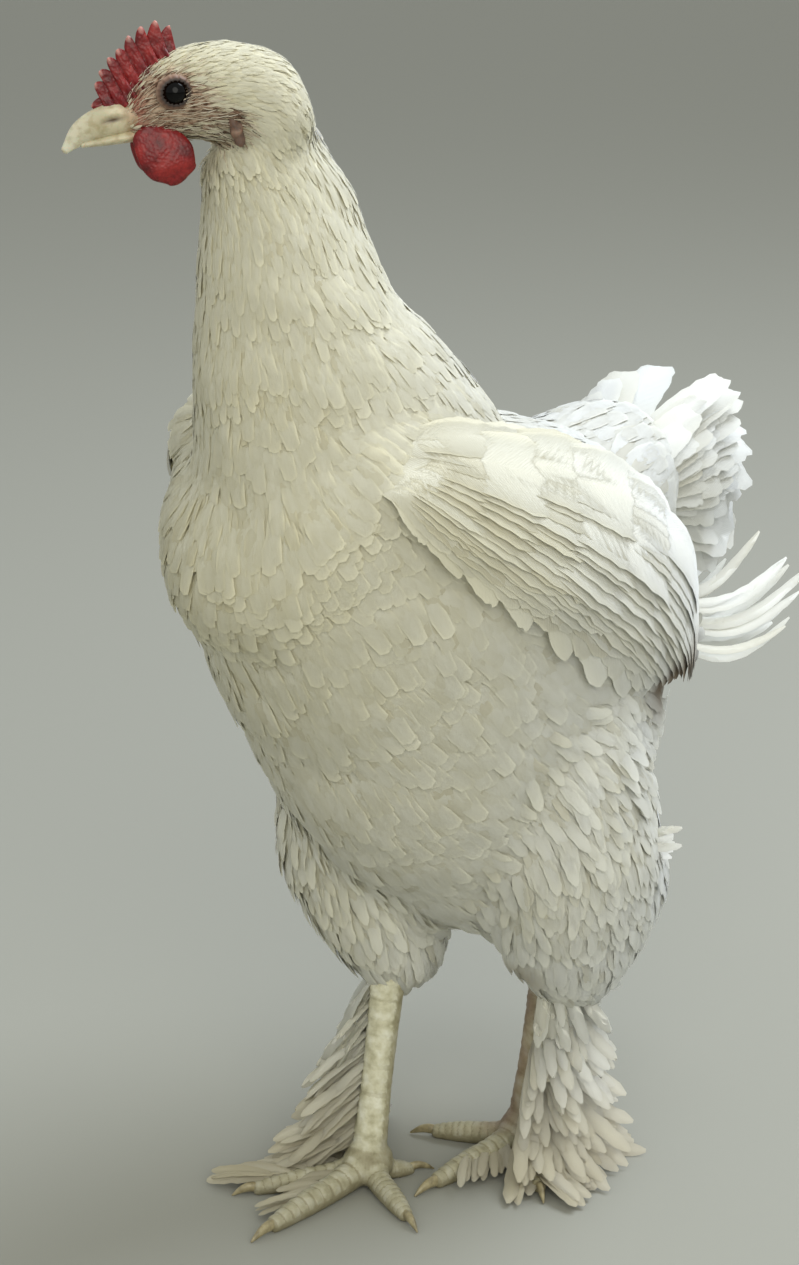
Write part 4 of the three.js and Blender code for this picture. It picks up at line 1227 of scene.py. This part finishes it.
def shank_form(leg):
    foot = np.array([leg["joint"][0], leg["joint"][1], PAD["height"] - 2.0])
    r = SHANK_RADIUS
    sizes = [(0, 1.15, 1.3), (0.2, 1, 1.1), (0.6, 0.95, 1), (1, 1.15, 1.1)]
    rows = [[*(leg["hock"] + (foot - leg["hock"]) * share), r * wide, r * groove_shade, r * groove_shade]
            for share, wide, groove_shade in sizes]
    return Form(rows, (4, 2))


def toe_form(leg, name):
    bearing, reach = leg["toes"][name]
    r, way, toe = TOE_RADIUS[name], direction_of(bearing), reach - CLAW_LENGTH[name]
    sizes = [(0.1, 1.1, 2), (0.35, 0.95, 0.4), (0.6, 0.9, 0), (0.8, 0.78, 0), (1, 0.56, 0.4)]
    rows = []
    for share, size, lift in sizes:
        x, y, _ = leg["joint"] + way * toe * share
        rows.append([x, y, r * size - SOLE_SINK + lift, r * size, r * size, r * size])
    return Form(rows, (2, 1.5), (way[1], -way[0], 0))


def claw_form(leg, name):
    bearing, reach = leg["toes"][name]
    r, way, length = TOE_RADIUS[name] * 0.42, direction_of(bearing), CLAW_LENGTH[name]
    rows = []
    for share, size, height in [(-0.1, 1, 4), (0.2, 1, 4.6), (0.45, 0.86, 4.2), (0.7, 0.62, 3), (1, 0.2, 1)]:
        x, y, _ = leg["joint"] + way * (reach - length + length * share)
        rows.append([x, y, height, r * size * 0.8, r * size, r * size])
    return Form(rows, (0.8, 0.4), (way[1], -way[0], 0))


def pad_form(leg):
    x, y, _ = leg["joint"]
    flat = PAD["height"] - 2.0
    rows = [[x, y, z, PAD["width"] * k, PAD["length"] * k, PAD["length"] * k]
            for z, k in ((flat + 9, 0.7), (flat + 4, 0.95), (flat - 3, 1.0), (flat - 9, 0.72))]
    return Form(rows, (4, 2))


# %% Scaled skin of the legs
LEG_VOXEL = 0.0009
SCUTES = {"shank": 17, "toe": 11}
SCUTE_HEIGHT = 0.55


def leg_forms(leg):
    forms = {"shank": shank_form(leg), "pad": pad_form(leg)}
    forms.update({"toe_" + name: toe_form(leg, name) for name in leg["toes"]})
    return forms


def scute_height(name, t, angle):
    """How far a place on a leg stands proud, in mm: plates on its front or top, pebbles elsewhere."""
    turn = angle * 2 * math.pi
    if name == "shank":
        facing_front, count = np.clip(-np.sin(turn) * 1.8, 0, 1), SCUTES["shank"]
    elif name == "pad":
        return np.zeros_like(t)
    else:
        facing_front, count = np.clip(np.sin(turn) * 1.8, 0, 1), SCUTES["toe"]
    phase = (t * count) % 1.0
    plate = phase**0.5 * np.clip((1 - phase) / 0.16, 0, 1)
    return SCUTE_HEIGHT * plate * facing_front


def leg_skin(side, leg, material):
    forms = leg_forms(leg)
    piece = joined_skin("leg_skin_" + side, forms, LEG_VOXEL, 40, 32, {}, True)
    mesh = piece.data
    co = coordinates(mesh)
    co = smoothed(co, edges_of(mesh), 5, np.full(len(co), 0.6))
    normal = moved_to(mesh, co)
    leg_field = Field(forms, {})
    index, distance = leg_field.nearest(co)
    weight = np.exp(-((distance - distance.min(0)) / 0.0012) ** 2)
    weight /= weight.sum(0)
    raised = sum(
        weight[row] * scute_height(name, leg_field.t[row][index[row]], leg_field.angle[row][index[row]])
        for row, name in enumerate(leg_field.names)
    )
    pebbles = np.array([noise.noise(Vector(c) * 620) for c in co]) * 0.28
    co = co + normal * ((raised + pebbles) * MM)[:, None]
    co[:, 2] = np.maximum(co[:, 2], 0)
    moved_to(mesh, co)
    set_attribute(mesh, "raised", raised / SCUTE_HEIGHT)
    mesh.materials.clear()
    mesh.materials.append(material)
    mesh.shade_smooth()
    print(piece.name, len(co), "vertices")
    return piece, leg_field


# %% [markdown]
# The scales of the legs are keratin over yellow skin: satin, pale greenish yellow, darker and greyer off the
# raised plates and towards the floor. The claws are plain horn, streaked lighter and darker.

# %% Leg materials
LEG_STAINS = [
    # middle in drawing mm, reach in mm, colour, strength: dried mud on the inner side of the left leg
    ((16, 60, 88), 24, "#6E4B38", 0.75),
    ((12, 58, 56), 26, "#7A5A44", 0.7),
    ((8, 58, 26), 24, "#6B4A3A", 0.7),
]
scales, tree, surface = new_material("yellow leg keratin", 0.55, Specular_IOR_Level=0.4)
place = add(tree, "ShaderNodeTexCoord", out="Object")
split = add(tree, "ShaderNodeSeparateXYZ", {"Vector": place}, None)
raised = add(tree, "ShaderNodeAttribute", out="Fac", attribute_name="raised")
grime = add(tree, "ShaderNodeTexNoise", {"Vector": place, "Scale": 160.0, "Detail": 6.0})
pale = add(tree, "ShaderNodeValToRGB", {0: grime},
           stops=[(0.3, "#A7A284"), (0.5, "#C6C2A6"), (0.7, "#DAD8C4")])
# Darker and greyer off the raised plates and in the furrows between them, and darker towards the floor
furrow = add(tree, "ShaderNodeValToRGB", {0: raised}, stops=[(0.0, "#A9A088"), (0.25, "#FFFFFF")])
low = add(tree, "ShaderNodeMapRange", {"Value": split["Z"], "From Min": 0.03, "From Max": 0.0, "To Max": 0.7})
base = layered(tree, pale, (0.55, furrow, "MULTIPLY"), (low, "#766E54"))
base = stained(tree, base, place, LEG_STAINS, STAIN_CORE["legs"])
pores = add(tree, "ShaderNodeTexVoronoi", {"Vector": place, "Scale": 700.0}, "Distance")
bump = add(tree, "ShaderNodeBump", {"Height": pores, "Strength": 0.4, "Distance": 0.0003})
feed(tree, surface, {"Base Color": base, "Normal": bump})

horn, tree, surface = new_material("claw horn", 0.38)
place = add(tree, "ShaderNodeTexCoord", out="Object")
streak = add(tree, "ShaderNodeTexNoise", {"Vector": place, "Scale": 240.0, "Detail": 4.0})
base = add(tree, "ShaderNodeValToRGB", {0: streak}, stops=[(0.3, "#6E6449"), (0.7, "#A79C78")])
bump = add(tree, "ShaderNodeBump", {"Height": streak, "Strength": 0.3, "Distance": 0.0003})
feed(tree, surface, {"Base Color": base, "Normal": bump})

# %% Build the legs and claws
leg_pieces, claw_pieces, leg_fields = [], [], {}
for side, leg in LEGS.items():
    piece, leg_fields[side] = leg_skin(side, leg, scales)
    leg_pieces.append((side, piece))
    for name in leg["toes"]:
        points, _, _, poles = claw_form(leg, name).grid(24, 20)
        vertices, faces = closed_tube(points, poles)
        vertices[:, 2] = np.maximum(vertices[:, 2], -SHIFT[2])
        claw = new_piece(f"claw_horn_{side}_{name}", vertices, faces, horn)
        claw_pieces.append((f"claw_{side}_{name}", claw))

# %% [markdown]
# ## Feathered feet
# What tells a Brahma from other fowl is the feathering down the outer side of its shanks and along its
# outer and middle toes. Stiff feathers stand out from the shank in tiers, longer towards the foot, and
# fans lie along the toes close over the floor.

# %% Foot feathers
BOOT_HEIGHTS = [112, 106, 99, 92, 85, 78, 71, 64, 57, 50, 43, 37, 31, 26, 22]
BOOT_SLOPES, BOOT_LENGTHS = (62, 32), (48, 66)
BOOT_FAN = (-62, 60)
BOOT_ACROSS = 16
FOOT_SOFTNESS = 0.55
TOE_FANS = {"outer": (28, 0.08, 0.9, 36, (66, 26)), "middle": (16, 0.18, 0.66, 27, (56, 34))}


def hanging(leg, draw, row):
    """Root, direction, reach and facing of one feather on the outer side of the shank."""
    share = row / (len(BOOT_HEIGHTS) - 1)
    turned = math.radians(draw.uniform(*BOOT_FAN))
    fall = math.radians(from_to(*BOOT_SLOPES, share) + draw.uniform(-9, 9))
    out = np.array([leg["way"] * math.cos(turned), math.sin(turned), 0.0])
    run_way = out * math.cos(fall) - np.array([0, 0, math.sin(fall)])
    height = BOOT_HEIGHTS[row] + draw.uniform(-3, 3)
    root = leg["joint"] + (leg["hock"] - leg["joint"]) * (height / leg["hock"][2]) + out * 5
    reach = from_to(*BOOT_LENGTHS, share) * draw.uniform(0.66, 1.04)
    upper_side = out * math.sin(fall) + np.array([0, 0, math.cos(fall)])
    facing = upper_side * 0.55 + np.array([0.25 * leg["way"], -0.75, 0.1]) + draw.uniform(-0.3, 0.3, 3)
    return root, run_way, reach, facing


def foot_feathers(side, leg):
    draw = np.random.default_rng(20 + leg["way"])
    boots = shape_set(6, 10, 0.25, 81, notch=0.88, lean=(50, 26), droop=0.0, camber=0.05, thickness=0.006,
                      rounding=0.92)
    fans = shape_set(6, 10, 0.3, 82, notch=0.9, lean=(50, 26), droop=0.0, camber=0.05, thickness=0.008,
                     rounding=0.92)
    items = []
    for row in range(len(BOOT_HEIGHTS)):
        for i in range(BOOT_ACROSS + row % 2):
            root, run_way, reach, facing = hanging(leg, draw, row)
            curl = draw.uniform(2, 10)

            def path(s):
                out = root + run_way * (reach * s)[:, None] + np.array([0, 0, 1.0]) * (curl * s**2)[:, None]
                out[:, 2] = np.maximum(out[:, 2], 3.0)
                return out

            shape = boots[(row + i) % len(boots)]
            items.append((shape, bent(shape, path, facing, reach)))
    for name, (count, first, last, length, swing) in TOE_FANS.items():
        bearing, whole = leg["toes"][name]
        toe = whole - CLAW_LENGTH[name]
        for i in range(count):
            share = i / (count - 1)
            run_way = direction_of(bearing + leg["way"] * (from_to(*swing, share) + draw.uniform(-8, 8)))
            root = leg["joint"] + direction_of(bearing) * toe * from_to(first, last, share)
            root[2] = TOE_RADIUS[name] + draw.uniform(0.5, 4.5)
            reach = length * draw.uniform(0.75, 1.08)

            def path(s):
                out = root + run_way * (reach * s)[:, None] - np.array([0, 0, 4.5]) * s[:, None]
                out[:, 2] = np.maximum(out[:, 2], 1.5)
                return out

            facing = np.array([0, -0.3, 1.0]) + draw.uniform(-0.35, 0.35, 3)
            shape = fans[i % len(fans)]
            items.append((shape, bent(shape, path, facing, reach)))
    for _, points in items:
        points[:, 2] = np.maximum(points[:, 2], 0.4 - SHIFT[2])
    return feathers_piece("foot_feathers_" + side, items, leg_fields[side], FOOT_SOFTNESS)


foot_pieces = [foot_feathers(side, leg) for side, leg in LEGS.items()]

# %% [markdown]
# ## Comb
# The bird carries an upright comb of blunt points. It is a fleshy blade, thick where it grows from the
# skull and thin at the points, and its skin is pebbled. The blade is made of loops, each running up one
# side and down the other, from the back of the comb to the front.

# %% Comb
COMB_ROOT = np.array([24.0, 4.0])
COMB_TIPS = [
    (5.2, 31.2), (11, 34.8), (18, 33.6), (24.2, 31), (30, 26.4), (34.6, 24), (39.6, 19.2), (42.6, 14.6),
    (46.4, 5.6),
]
COMB_BASE = [(5, 17), (12, 14), (24, 8), (34, 2), (44, 1.5)]
COMB_NOTCH = 0.8
COMB_NARROWING = 0.75  # how much thinner its root is over the bill than over the skull
COMB_THICK = {"root": 5.4, "blade": 2.1, "edge": 0.9}


def polyline(points, share):
    points = np.asarray(points, float)
    walked = np.concatenate([[0], np.cumsum(np.linalg.norm(np.diff(points, axis=0), axis=1))])
    return np.stack([np.interp(share * walked[-1], walked, points[:, axis]) for axis in (0, 1)], -1)


def comb_edge(x):
    """The outline of the comb at places x, counted in points from the back: blunt fingers, open notches."""
    tips = np.asarray(COMB_TIPS, float)
    middle = np.stack([np.interp(x, np.arange(len(tips)), tips[:, axis]) for axis in (0, 1)], -1)
    dip = 1 - np.abs(np.cos(np.pi * x)) ** 0.6
    depth = (1 - COMB_NOTCH) * (1 + 0.25 * np.sin(5.1 * x))
    return COMB_ROOT + (middle - COMB_ROOT) * (1 - depth * dip)[:, None]


def comb_piece(material):
    loops, half_rows = 240, 26
    share = np.linspace(0, 1, loops)
    x = share * (len(COMB_TIPS) - 1)
    edge, base = comb_edge(x), polyline(COMB_BASE, share)
    up = np.linspace(0, 1, half_rows)
    swell = COMB_THICK["root"] * np.clip(1 - up / 0.55, 0, 1) ** 1.5
    blade = from_to(COMB_THICK["blade"], COMB_THICK["edge"], up)
    blade[-3:] *= [0.86, 0.62, 0.2]
    finger = np.abs(np.cos(np.pi * x)) ** 0.6
    groove = 1 - 0.5 * (1 - finger)[:, None] * np.clip((up - 0.12) / 0.3, 0, 1)[None]
    knob = 1 + 0.28 * np.cos(2 * np.pi * (x + 0.3))
    close = np.minimum(1.0, 0.25 + 9 * np.minimum(share, 1 - share))
    narrow = 1 - COMB_NARROWING * np.clip((share - 0.55) / 0.45, 0, 1)
    thick = (swell * (knob * narrow)[:, None] + blade) * groove * close[:, None]
    line = base[:, None] + (edge - base)[:, None] * up[None, :, None]
    there_and_back = np.concatenate([np.arange(half_rows), np.arange(half_rows)[::-1]])
    way = np.repeat([1.0, -1.0], half_rows)
    line, thick = line[:, there_and_back], thick[:, there_and_back] * way
    places = SKULL + (line[..., :1] * forward + thick[..., None] * leftward + line[..., 1:] * upward)
    count = 2 * half_rows
    faces = tube_faces(loops, count).tolist()
    faces.append(list(range(count - 1, -1, -1)))
    faces.append(list(range((loops - 1) * count, loops * count)))
    flat = places.reshape(-1, 3)
    rough = np.array([noise.noise(Vector(p) * 0.42) * 0.6 + noise.noise(Vector(p) * 1.1) * 0.4 for p in flat])
    inner = (1 - up**3)[there_and_back] * way
    flat = flat + leftward * (rough * np.tile(inner, loops) * 0.7)[:, None]
    piece = new_piece("comb_blade", flat, faces, material)
    set_attribute(piece.data, "edge", np.tile(up[there_and_back], loops) * np.repeat(finger, count))
    set_attribute(piece.data, "groove", (1 - groove)[:, there_and_back].ravel() * 2)
    return piece


# %% [markdown]
# ## Wattles, ears and bare skin
# The wattles are soft round folds under the bill, blood-red and pebbled like the comb, and a little
# glossy. The ear patch is duller and browner, and the face is thin pinkish skin with bristles.

# %% Flesh materials
FLESH_GRAIN = 1.3  # mm between the pebbles of comb and wattles
flesh, tree, surface = new_material("blood-red pebbled skin", 0.42, Specular_IOR_Level=0.45,
                                    Subsurface_Weight=0.25, Subsurface_Radius=(1.0, 0.25, 0.15),
                                    Subsurface_Scale=0.002)
place = add(tree, "ShaderNodeTexCoord", out="Object")
pebble = add(tree, "ShaderNodeTexVoronoi", {"Vector": place, "Scale": 1000 / FLESH_GRAIN}, "Distance",
             feature="SMOOTH_F1")
blotch = add(tree, "ShaderNodeTexNoise", {"Vector": place, "Scale": 120.0, "Detail": 4.0})
red = add(tree, "ShaderNodeValToRGB", {0: blotch},
          stops=[(0.3, "#560C0F"), (0.5, "#7E1417"), (0.7, "#982522")])
dark = add(tree, "ShaderNodeValToRGB", {0: pebble}, stops=[(0.2, "#FFFFFF"), (0.8, "#B88C86")])
edge = add(tree, "ShaderNodeAttribute", out="Fac", attribute_name="edge")
pale_tip = add(tree, "ShaderNodeMapRange", {"Value": edge, "From Min": 0.84, "From Max": 1.0, "To Max": 0.75})
# The grooves between the comb's fingers are painted darker red: painted shade
groove = add(tree, "ShaderNodeAttribute", out="Fac", attribute_name="groove")
groove_shade = add(tree, "ShaderNodeMapRange", {"Value": groove, "From Min": 0.2, "From Max": 1.0, "To Max": 0.6})
base = layered(tree, red, (0.6, dark, "MULTIPLY"), (pale_tip, "#D8A79C"), (groove_shade, "#4E0B0E"))
bump = add(tree, "ShaderNodeBump", {"Height": pebble, "Strength": 0.55, "Distance": 0.0006})
feed(tree, surface, {"Base Color": base, "Normal": bump})

bare_skin, tree, surface = new_material("thin pink skin", 0.6, Subsurface_Weight=0.2, Subsurface_Scale=0.002)
place = add(tree, "ShaderNodeTexCoord", out="Object")
blotch = add(tree, "ShaderNodeTexNoise", {"Vector": place, "Scale": 260.0, "Detail": 5.0})
base = add(tree, "ShaderNodeValToRGB", {0: blotch},
           stops=[(0.3, "#46332A"), (0.5, "#654D3F"), (0.7, "#8A6F5D")])
bump = add(tree, "ShaderNodeBump", {"Height": blotch, "Strength": 0.5, "Distance": 0.0006})
feed(tree, surface, {"Base Color": base, "Normal": bump})


def lumpy(points, size, scale):
    """Points of a grid moved along their distance from the middle by smooth noise, in mm."""
    middle = points.reshape(-1, 3).mean(0)
    flat = points.reshape(-1, 3)
    out = unit(flat - middle)
    wave = np.array([noise.noise(Vector(p) * scale) for p in flat])
    return (flat + out * (wave * size)[:, None]).reshape(points.shape)


def wattle_form(side):
    return Form([
        head_row(27, side * 8, -9.6, 7.0, 2.4, 2.4),
        head_row(23.5, side * 9.5, -16, 10.9, 3.2, 3.2),
        head_row(19, side * 10.5, -24, 11.5, 3.4, 3.4),
        head_row(16, side * 10, -30, 7.4, 2.6, 2.6),
    ], (3, 3), forward)


def lobe_form(side):
    return Form([
        head_row(-10, side * 14.6, -10, 2.2, 1.8, 1.8),
        head_row(-11, side * 15.9, -16, 2.9, 2.0, 2.0),
        head_row(-11, side * 16.3, -21.5, 2.3, 1.8, 1.8),
    ], (1.5, 2), forward)


comb = comb_piece(flesh)
flesh_pieces = []
for side, way in (("left", 1), ("right", -1)):
    points, _, _, poles = wattle_form(way).grid(40, 40)
    flesh_pieces.append((f"wattle_{side}", new_piece("wattle_fold_" + side,
                        *closed_tube(lumpy(points, 0.7, 0.16), poles), flesh)))
    points, _, _, poles = lobe_form(way).grid(20, 24)
    flesh_pieces.append((f"earlobe_{side}", new_piece("ear_lobe_" + side,
                        *closed_tube(lumpy(points, 0.8, 0.4), poles), bare_skin)))

# %% [markdown]
# ## Bill
# The bill is horn over bone. A ridge runs along its top, and at its root a soft cover lies over each
# nostril, with a slit below it. The lower half closes inside the edge of the upper one.

# %% Bill
bill_horn, tree, surface = new_material("bill horn", 0.36, Specular_IOR_Level=0.5,
                                        Subsurface_Weight=0.15, Subsurface_Scale=0.0015)
root = add(tree, "ShaderNodeAttribute", out="Fac", attribute_name="from_root")
place = add(tree, "ShaderNodeTexCoord", out="Object")
grain = add(tree, "ShaderNodeTexNoise", {"Vector": place, "Scale": 300.0, "Detail": 4.0})
tone = add(tree, "ShaderNodeValToRGB", {0: root},
           stops=[(0.0, "#B4977A"), (0.2, "#CBC2A4"), (0.55, "#BFB799"), (1.0, "#D6D2BC")])
speck = add(tree, "ShaderNodeValToRGB", {0: grain}, stops=[(0.35, "#C2B596"), (0.55, "#FFFFFF")])
# The nostril slit is painted dark brown: painted shade in the opening
slit = add(tree, "ShaderNodeAttribute", out="Fac", attribute_name="slit")
base = layered(tree, tone, (0.5, speck, "MULTIPLY"), (slit, "#4A3022"))
bump = add(tree, "ShaderNodeBump", {"Height": grain, "Strength": 0.2, "Distance": 0.0003})
feed(tree, surface, {"Base Color": base, "Normal": bump})
NOSTRIL = {"ahead": 39.0, "left": 6.6, "up": -1.4}
COVER = {"ahead": 39.6, "left": 5.6, "up": 1.8}


def bump_at(local, centre, reaches):
    """1 at a place in the head's frame, falling smoothly to 0 at its reaches."""
    away = (local - np.array(centre)) / np.array(reaches)
    return np.exp(-(away ** 2).sum(-1))


def bill_half(name, rows, shaped):
    form = Form(rows, (2, 1), leftward)
    points, t, _, poles = form.grid(70, 56)
    flat = points.reshape(-1, 3)
    away = flat - SKULL
    local = np.stack([away @ forward, away @ leftward, away @ upward], -1)
    slit = np.zeros(len(flat))
    if shaped:
        middle = np.repeat(form.rings(t)["middle"], points.shape[1], axis=0)
        out = unit(flat - middle)
        side = np.abs(local[:, 1])
        ridge = np.exp(-(side / 1.5) ** 2) * (local[:, 2] > local[:, 2].mean() - 8) * 0.7
        mirrored_local = np.stack([local[:, 0], side, local[:, 2]], -1)
        cover = bump_at(mirrored_local, tuple(COVER.values()), (5.0, 4.0, 2.4)) * 1.5
        slit = bump_at(mirrored_local, tuple(NOSTRIL.values()), (4.2, 3.0, 1.0))
        flat = flat + out * (ridge + cover - 1.5 * slit)[:, None]
    piece = new_piece(name, *closed_tube(flat.reshape(points.shape), poles), bill_horn)
    from_root = np.clip((np.append(local[:, 0], [local[0, 0], local[-1, 0]]) - 30) / 30, 0, 1)
    set_attribute(piece.data, "from_root", from_root)
    set_attribute(piece.data, "slit", np.append(slit, [0, 0]))
    return piece


upper_bill = bill_half("bill_upper", [
    head_row(28, 0, -2, 8.6, 7.5, 7),
    head_row(42, 0, -2, 6.4, 7, 6.4),
    head_row(53, 0, -4, 3.8, 5.4, 4.4),
    head_row(61.5, 0, -9.6, 1.3, 1.2, 1.3),
], True)
lower_bill = bill_half("bill_lower", [
    head_row(27, 0, -10.6, 7.6, 3, 4),
    head_row(42, 0, -9.9, 5, 2.4, 2.8),
    head_row(54, 0, -9.4, 2.2, 1.2, 1.5),
], False)

# %% [markdown]
# ## Eyes
# The eye is a wet ball with a wide dark pupil in a brown iris. Two rings of skin make the lids: a dark rim
# close to the ball, and a softer fold round it.

# %% Eyes and lids
wet, tree, surface = new_material("wet eye", 0.15, Specular_IOR_Level=0.12, Coat_Weight=0.12,
                                  Coat_Roughness=0.02)
axis_share = add(tree, "ShaderNodeAttribute", out="Fac", attribute_name="from_axis")
iris = add(tree, "ShaderNodeValToRGB", {0: axis_share}, stops=[
    (0.0, "#020202"), (0.46, "#030202"), (0.54, "#1C0E07"), (0.78, "#2E190C"), (0.9, "#070403"),
])
feed(tree, surface, {"Base Color": iris})
lid_skin, tree, surface = new_material("dark lid skin", 0.5)
around = add(tree, "ShaderNodeAttribute", out="Fac", attribute_name="outwards")
rim = add(tree, "ShaderNodeValToRGB", {0: around},
          stops=[(0.0, "#1A110C"), (0.42, "#30211A"), (0.75, "#6E5344"), (1.0, "#9C816E")])
feed(tree, surface, {"Base Color": rim})


def eye_ball(side, way):
    centre = head_point(EYE["ahead"], way * EYE["left"], EYE["up"])
    layers, sides, radius = 28, 40, EYE["radius"]
    outward = leftward * way
    points = []
    polar = np.linspace(0, np.pi, layers + 2)[1:-1]
    turn = np.linspace(0, 2 * np.pi, sides, endpoint=False)
    for a in polar:
        bulge = 1 + 0.07 * math.exp(-(a / 0.6) ** 2)
        ring = centre + radius * bulge * (
            math.cos(a) * outward
            + math.sin(a) * (np.cos(turn)[:, None] * forward + np.sin(turn)[:, None] * upward)
        )
        points.append(ring)
    poles = (centre + outward * radius * 1.07, centre - outward * radius)
    piece = new_piece("eye_ball_" + side, *closed_tube(np.array(points), poles), wet)
    share = np.append(np.repeat(polar, sides), [0, np.pi]) / (np.pi / 2)
    set_attribute(piece.data, "from_axis", np.clip(share, 0, 1))
    return piece


def lid(side, way):
    """A folded ring of skin round the eye, its edge a little wavy."""
    turns, ring = 96, 18
    profile_radius = [4.9, 5.1, 5.5, 6.0, 6.4, 6.8, 7.3, 7.9]
    profile_out = [15.2, 16.2, 16.5, 16.1, 16.2, 15.7, 14.9, 13.9]
    places, outwards = [], []
    for i in range(turns):
        a = 2 * np.pi * i / turns
        wave = 0.2 * math.sin(19 * a) + 0.1 * math.sin(31 * a + 1)
        for k, (r, out) in enumerate(zip(profile_radius, profile_out)):
            wide = r + wave * (1.6 if k < 3 else 0.7)
            places.append(head_point(EYE["ahead"] + wide * 1.06 * math.cos(a), way * out,
                                     EYE["up"] + wide * 0.96 * math.sin(a)))
            outwards.append(k / (len(profile_radius) - 1))
        for r in profile_radius[::-1]:
            places.append(head_point(EYE["ahead"] + r * 1.06 * math.cos(a), way * 12.6,
                                     EYE["up"] + r * 0.96 * math.sin(a)))
            outwards.append(0.6)
    count = 2 * len(profile_radius)
    faces = tube_faces(turns, count).tolist()
    last = (turns - 1) * count
    faces += [[last + j, last + (j + 1) % count, (j + 1) % count, j] for j in range(count)]
    piece = new_piece("lid_" + side, places, faces, lid_skin)
    set_attribute(piece.data, "outwards", outwards)
    return piece


eye_pieces = [(f"eye_{side}", eye_ball(side, way)) for side, way in (("left", 1), ("right", -1))]
lid_pieces = [lid(side, way) for side, way in (("left", 1), ("right", -1))]

# %% [markdown]
# ## Face
# Between bill, eye and ear the skin is nearly bare: thin and pinkish, with sparse bristles, some brown.
# The skin's own material carries that patch, by the same mask that spreads the bristles.

# %% Face colour and bristles
EAR = {"ahead": -8.0, "up": -17.0, "reach": 9.0}
set_attribute(skin.data, "lores", np.clip((head_place[:, 0] - 22) / 10, 0, 0.85))
ear_away = (head_place[:, [0, 2]] - np.array([EAR["ahead"], EAR["up"]])) / EAR["reach"]
set_attribute(skin.data, "ear", np.clip(1.3 - (ear_away ** 2).sum(1), 0, 1) * 0.8)
tree = skin_finish.node_tree
surface = tree.nodes["Principled BSDF"]
covered = surface.inputs["Base Color"].links[0].from_socket
place = add(tree, "ShaderNodeTexCoord", out="Object")
speck = add(tree, "ShaderNodeTexNoise", {"Vector": place, "Scale": 380.0, "Detail": 4.0})
pink = add(tree, "ShaderNodeValToRGB", {0: speck},
           stops=[(0.36, "#6A4C3A"), (0.48, "#A68872"), (0.64, "#C4AD96")])
lores = add(tree, "ShaderNodeAttribute", out="Fac", attribute_name="lores")
ear = add(tree, "ShaderNodeAttribute", out="Fac", attribute_name="ear")
mask = add(tree, "ShaderNodeAttribute", out="Fac", attribute_name="on_face")
much = add(tree, "ShaderNodeMapRange", {"Value": mask, "From Min": 0.1, "From Max": 0.6})
face_colour = layered(tree, pink, (lores, "#9A4238"), (ear, "#6B5040"))
bump = add(tree, "ShaderNodeBump", {"Height": speck, "Strength": 0.5, "Distance": 0.0005})
feed(tree, surface, {"Base Color": layered(tree, covered, (much, face_colour)), "Normal": bump})

bristle_finish, tree, surface = new_material("face bristles", 0.7)
tone = add(tree, "ShaderNodeAttribute", out="Fac", attribute_name="tone")
base = add(tree, "ShaderNodeValToRGB", {0: tone},
           stops=[(0.3, "#4A3323"), (0.46, "#A9957A"), (1.0, "#DCD3C0")])
feed(tree, surface, {"Base Color": base})
coats.append(coat("coat_face", "face", "bristle", 1.1, 14, 22, 18, 1.6, bristle_finish))

# %% [markdown]
# ## Riding on the frame
# The bird is one body, so every piece rides on it and names the solids that it stands for.

# %% Ride and replace
for source in SHAPES.values():
    bpy.data.objects.remove(source)


def carried(piece, slot, *nodes):
    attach(piece, "root")
    if nodes:
        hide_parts(*nodes)


carried(skin, "plumage", "torso", "neck", "head", "thigh_left", "thigh_right")
for piece in coats:
    carried(piece, "plumage")
for piece, side in zip(wing_pieces, ("left", "right")):
    carried(piece, "plumage", "wing_" + side)
carried(tail_piece, "plumage", "tail")
carried(curl_piece, "plumage", "vent_fluff")
carried(tuft_piece, "plumage")
for side, piece in leg_pieces:
    toes = [f"toe_{side}_{name}" for name in TOE_RADIUS]
    carried(piece, "leg_scales", "shank_" + side, "foot_" + side, *toes)
for piece in foot_pieces:
    carried(piece, "plumage")
for node, piece in claw_pieces:
    carried(piece, "claw_horn", node)
carried(comb, "comb_and_wattles", "comb")
for node, piece in flesh_pieces:
    carried(piece, "comb_and_wattles" if node.startswith("wattle") else "bare_skin", node)
carried(upper_bill, "beak_horn", "beak_upper")
carried(lower_bill, "beak_horn", "beak_lower")
for node, piece in eye_pieces:
    carried(piece, "eye", node)
for piece in lid_pieces:
    carried(piece, "bare_skin")
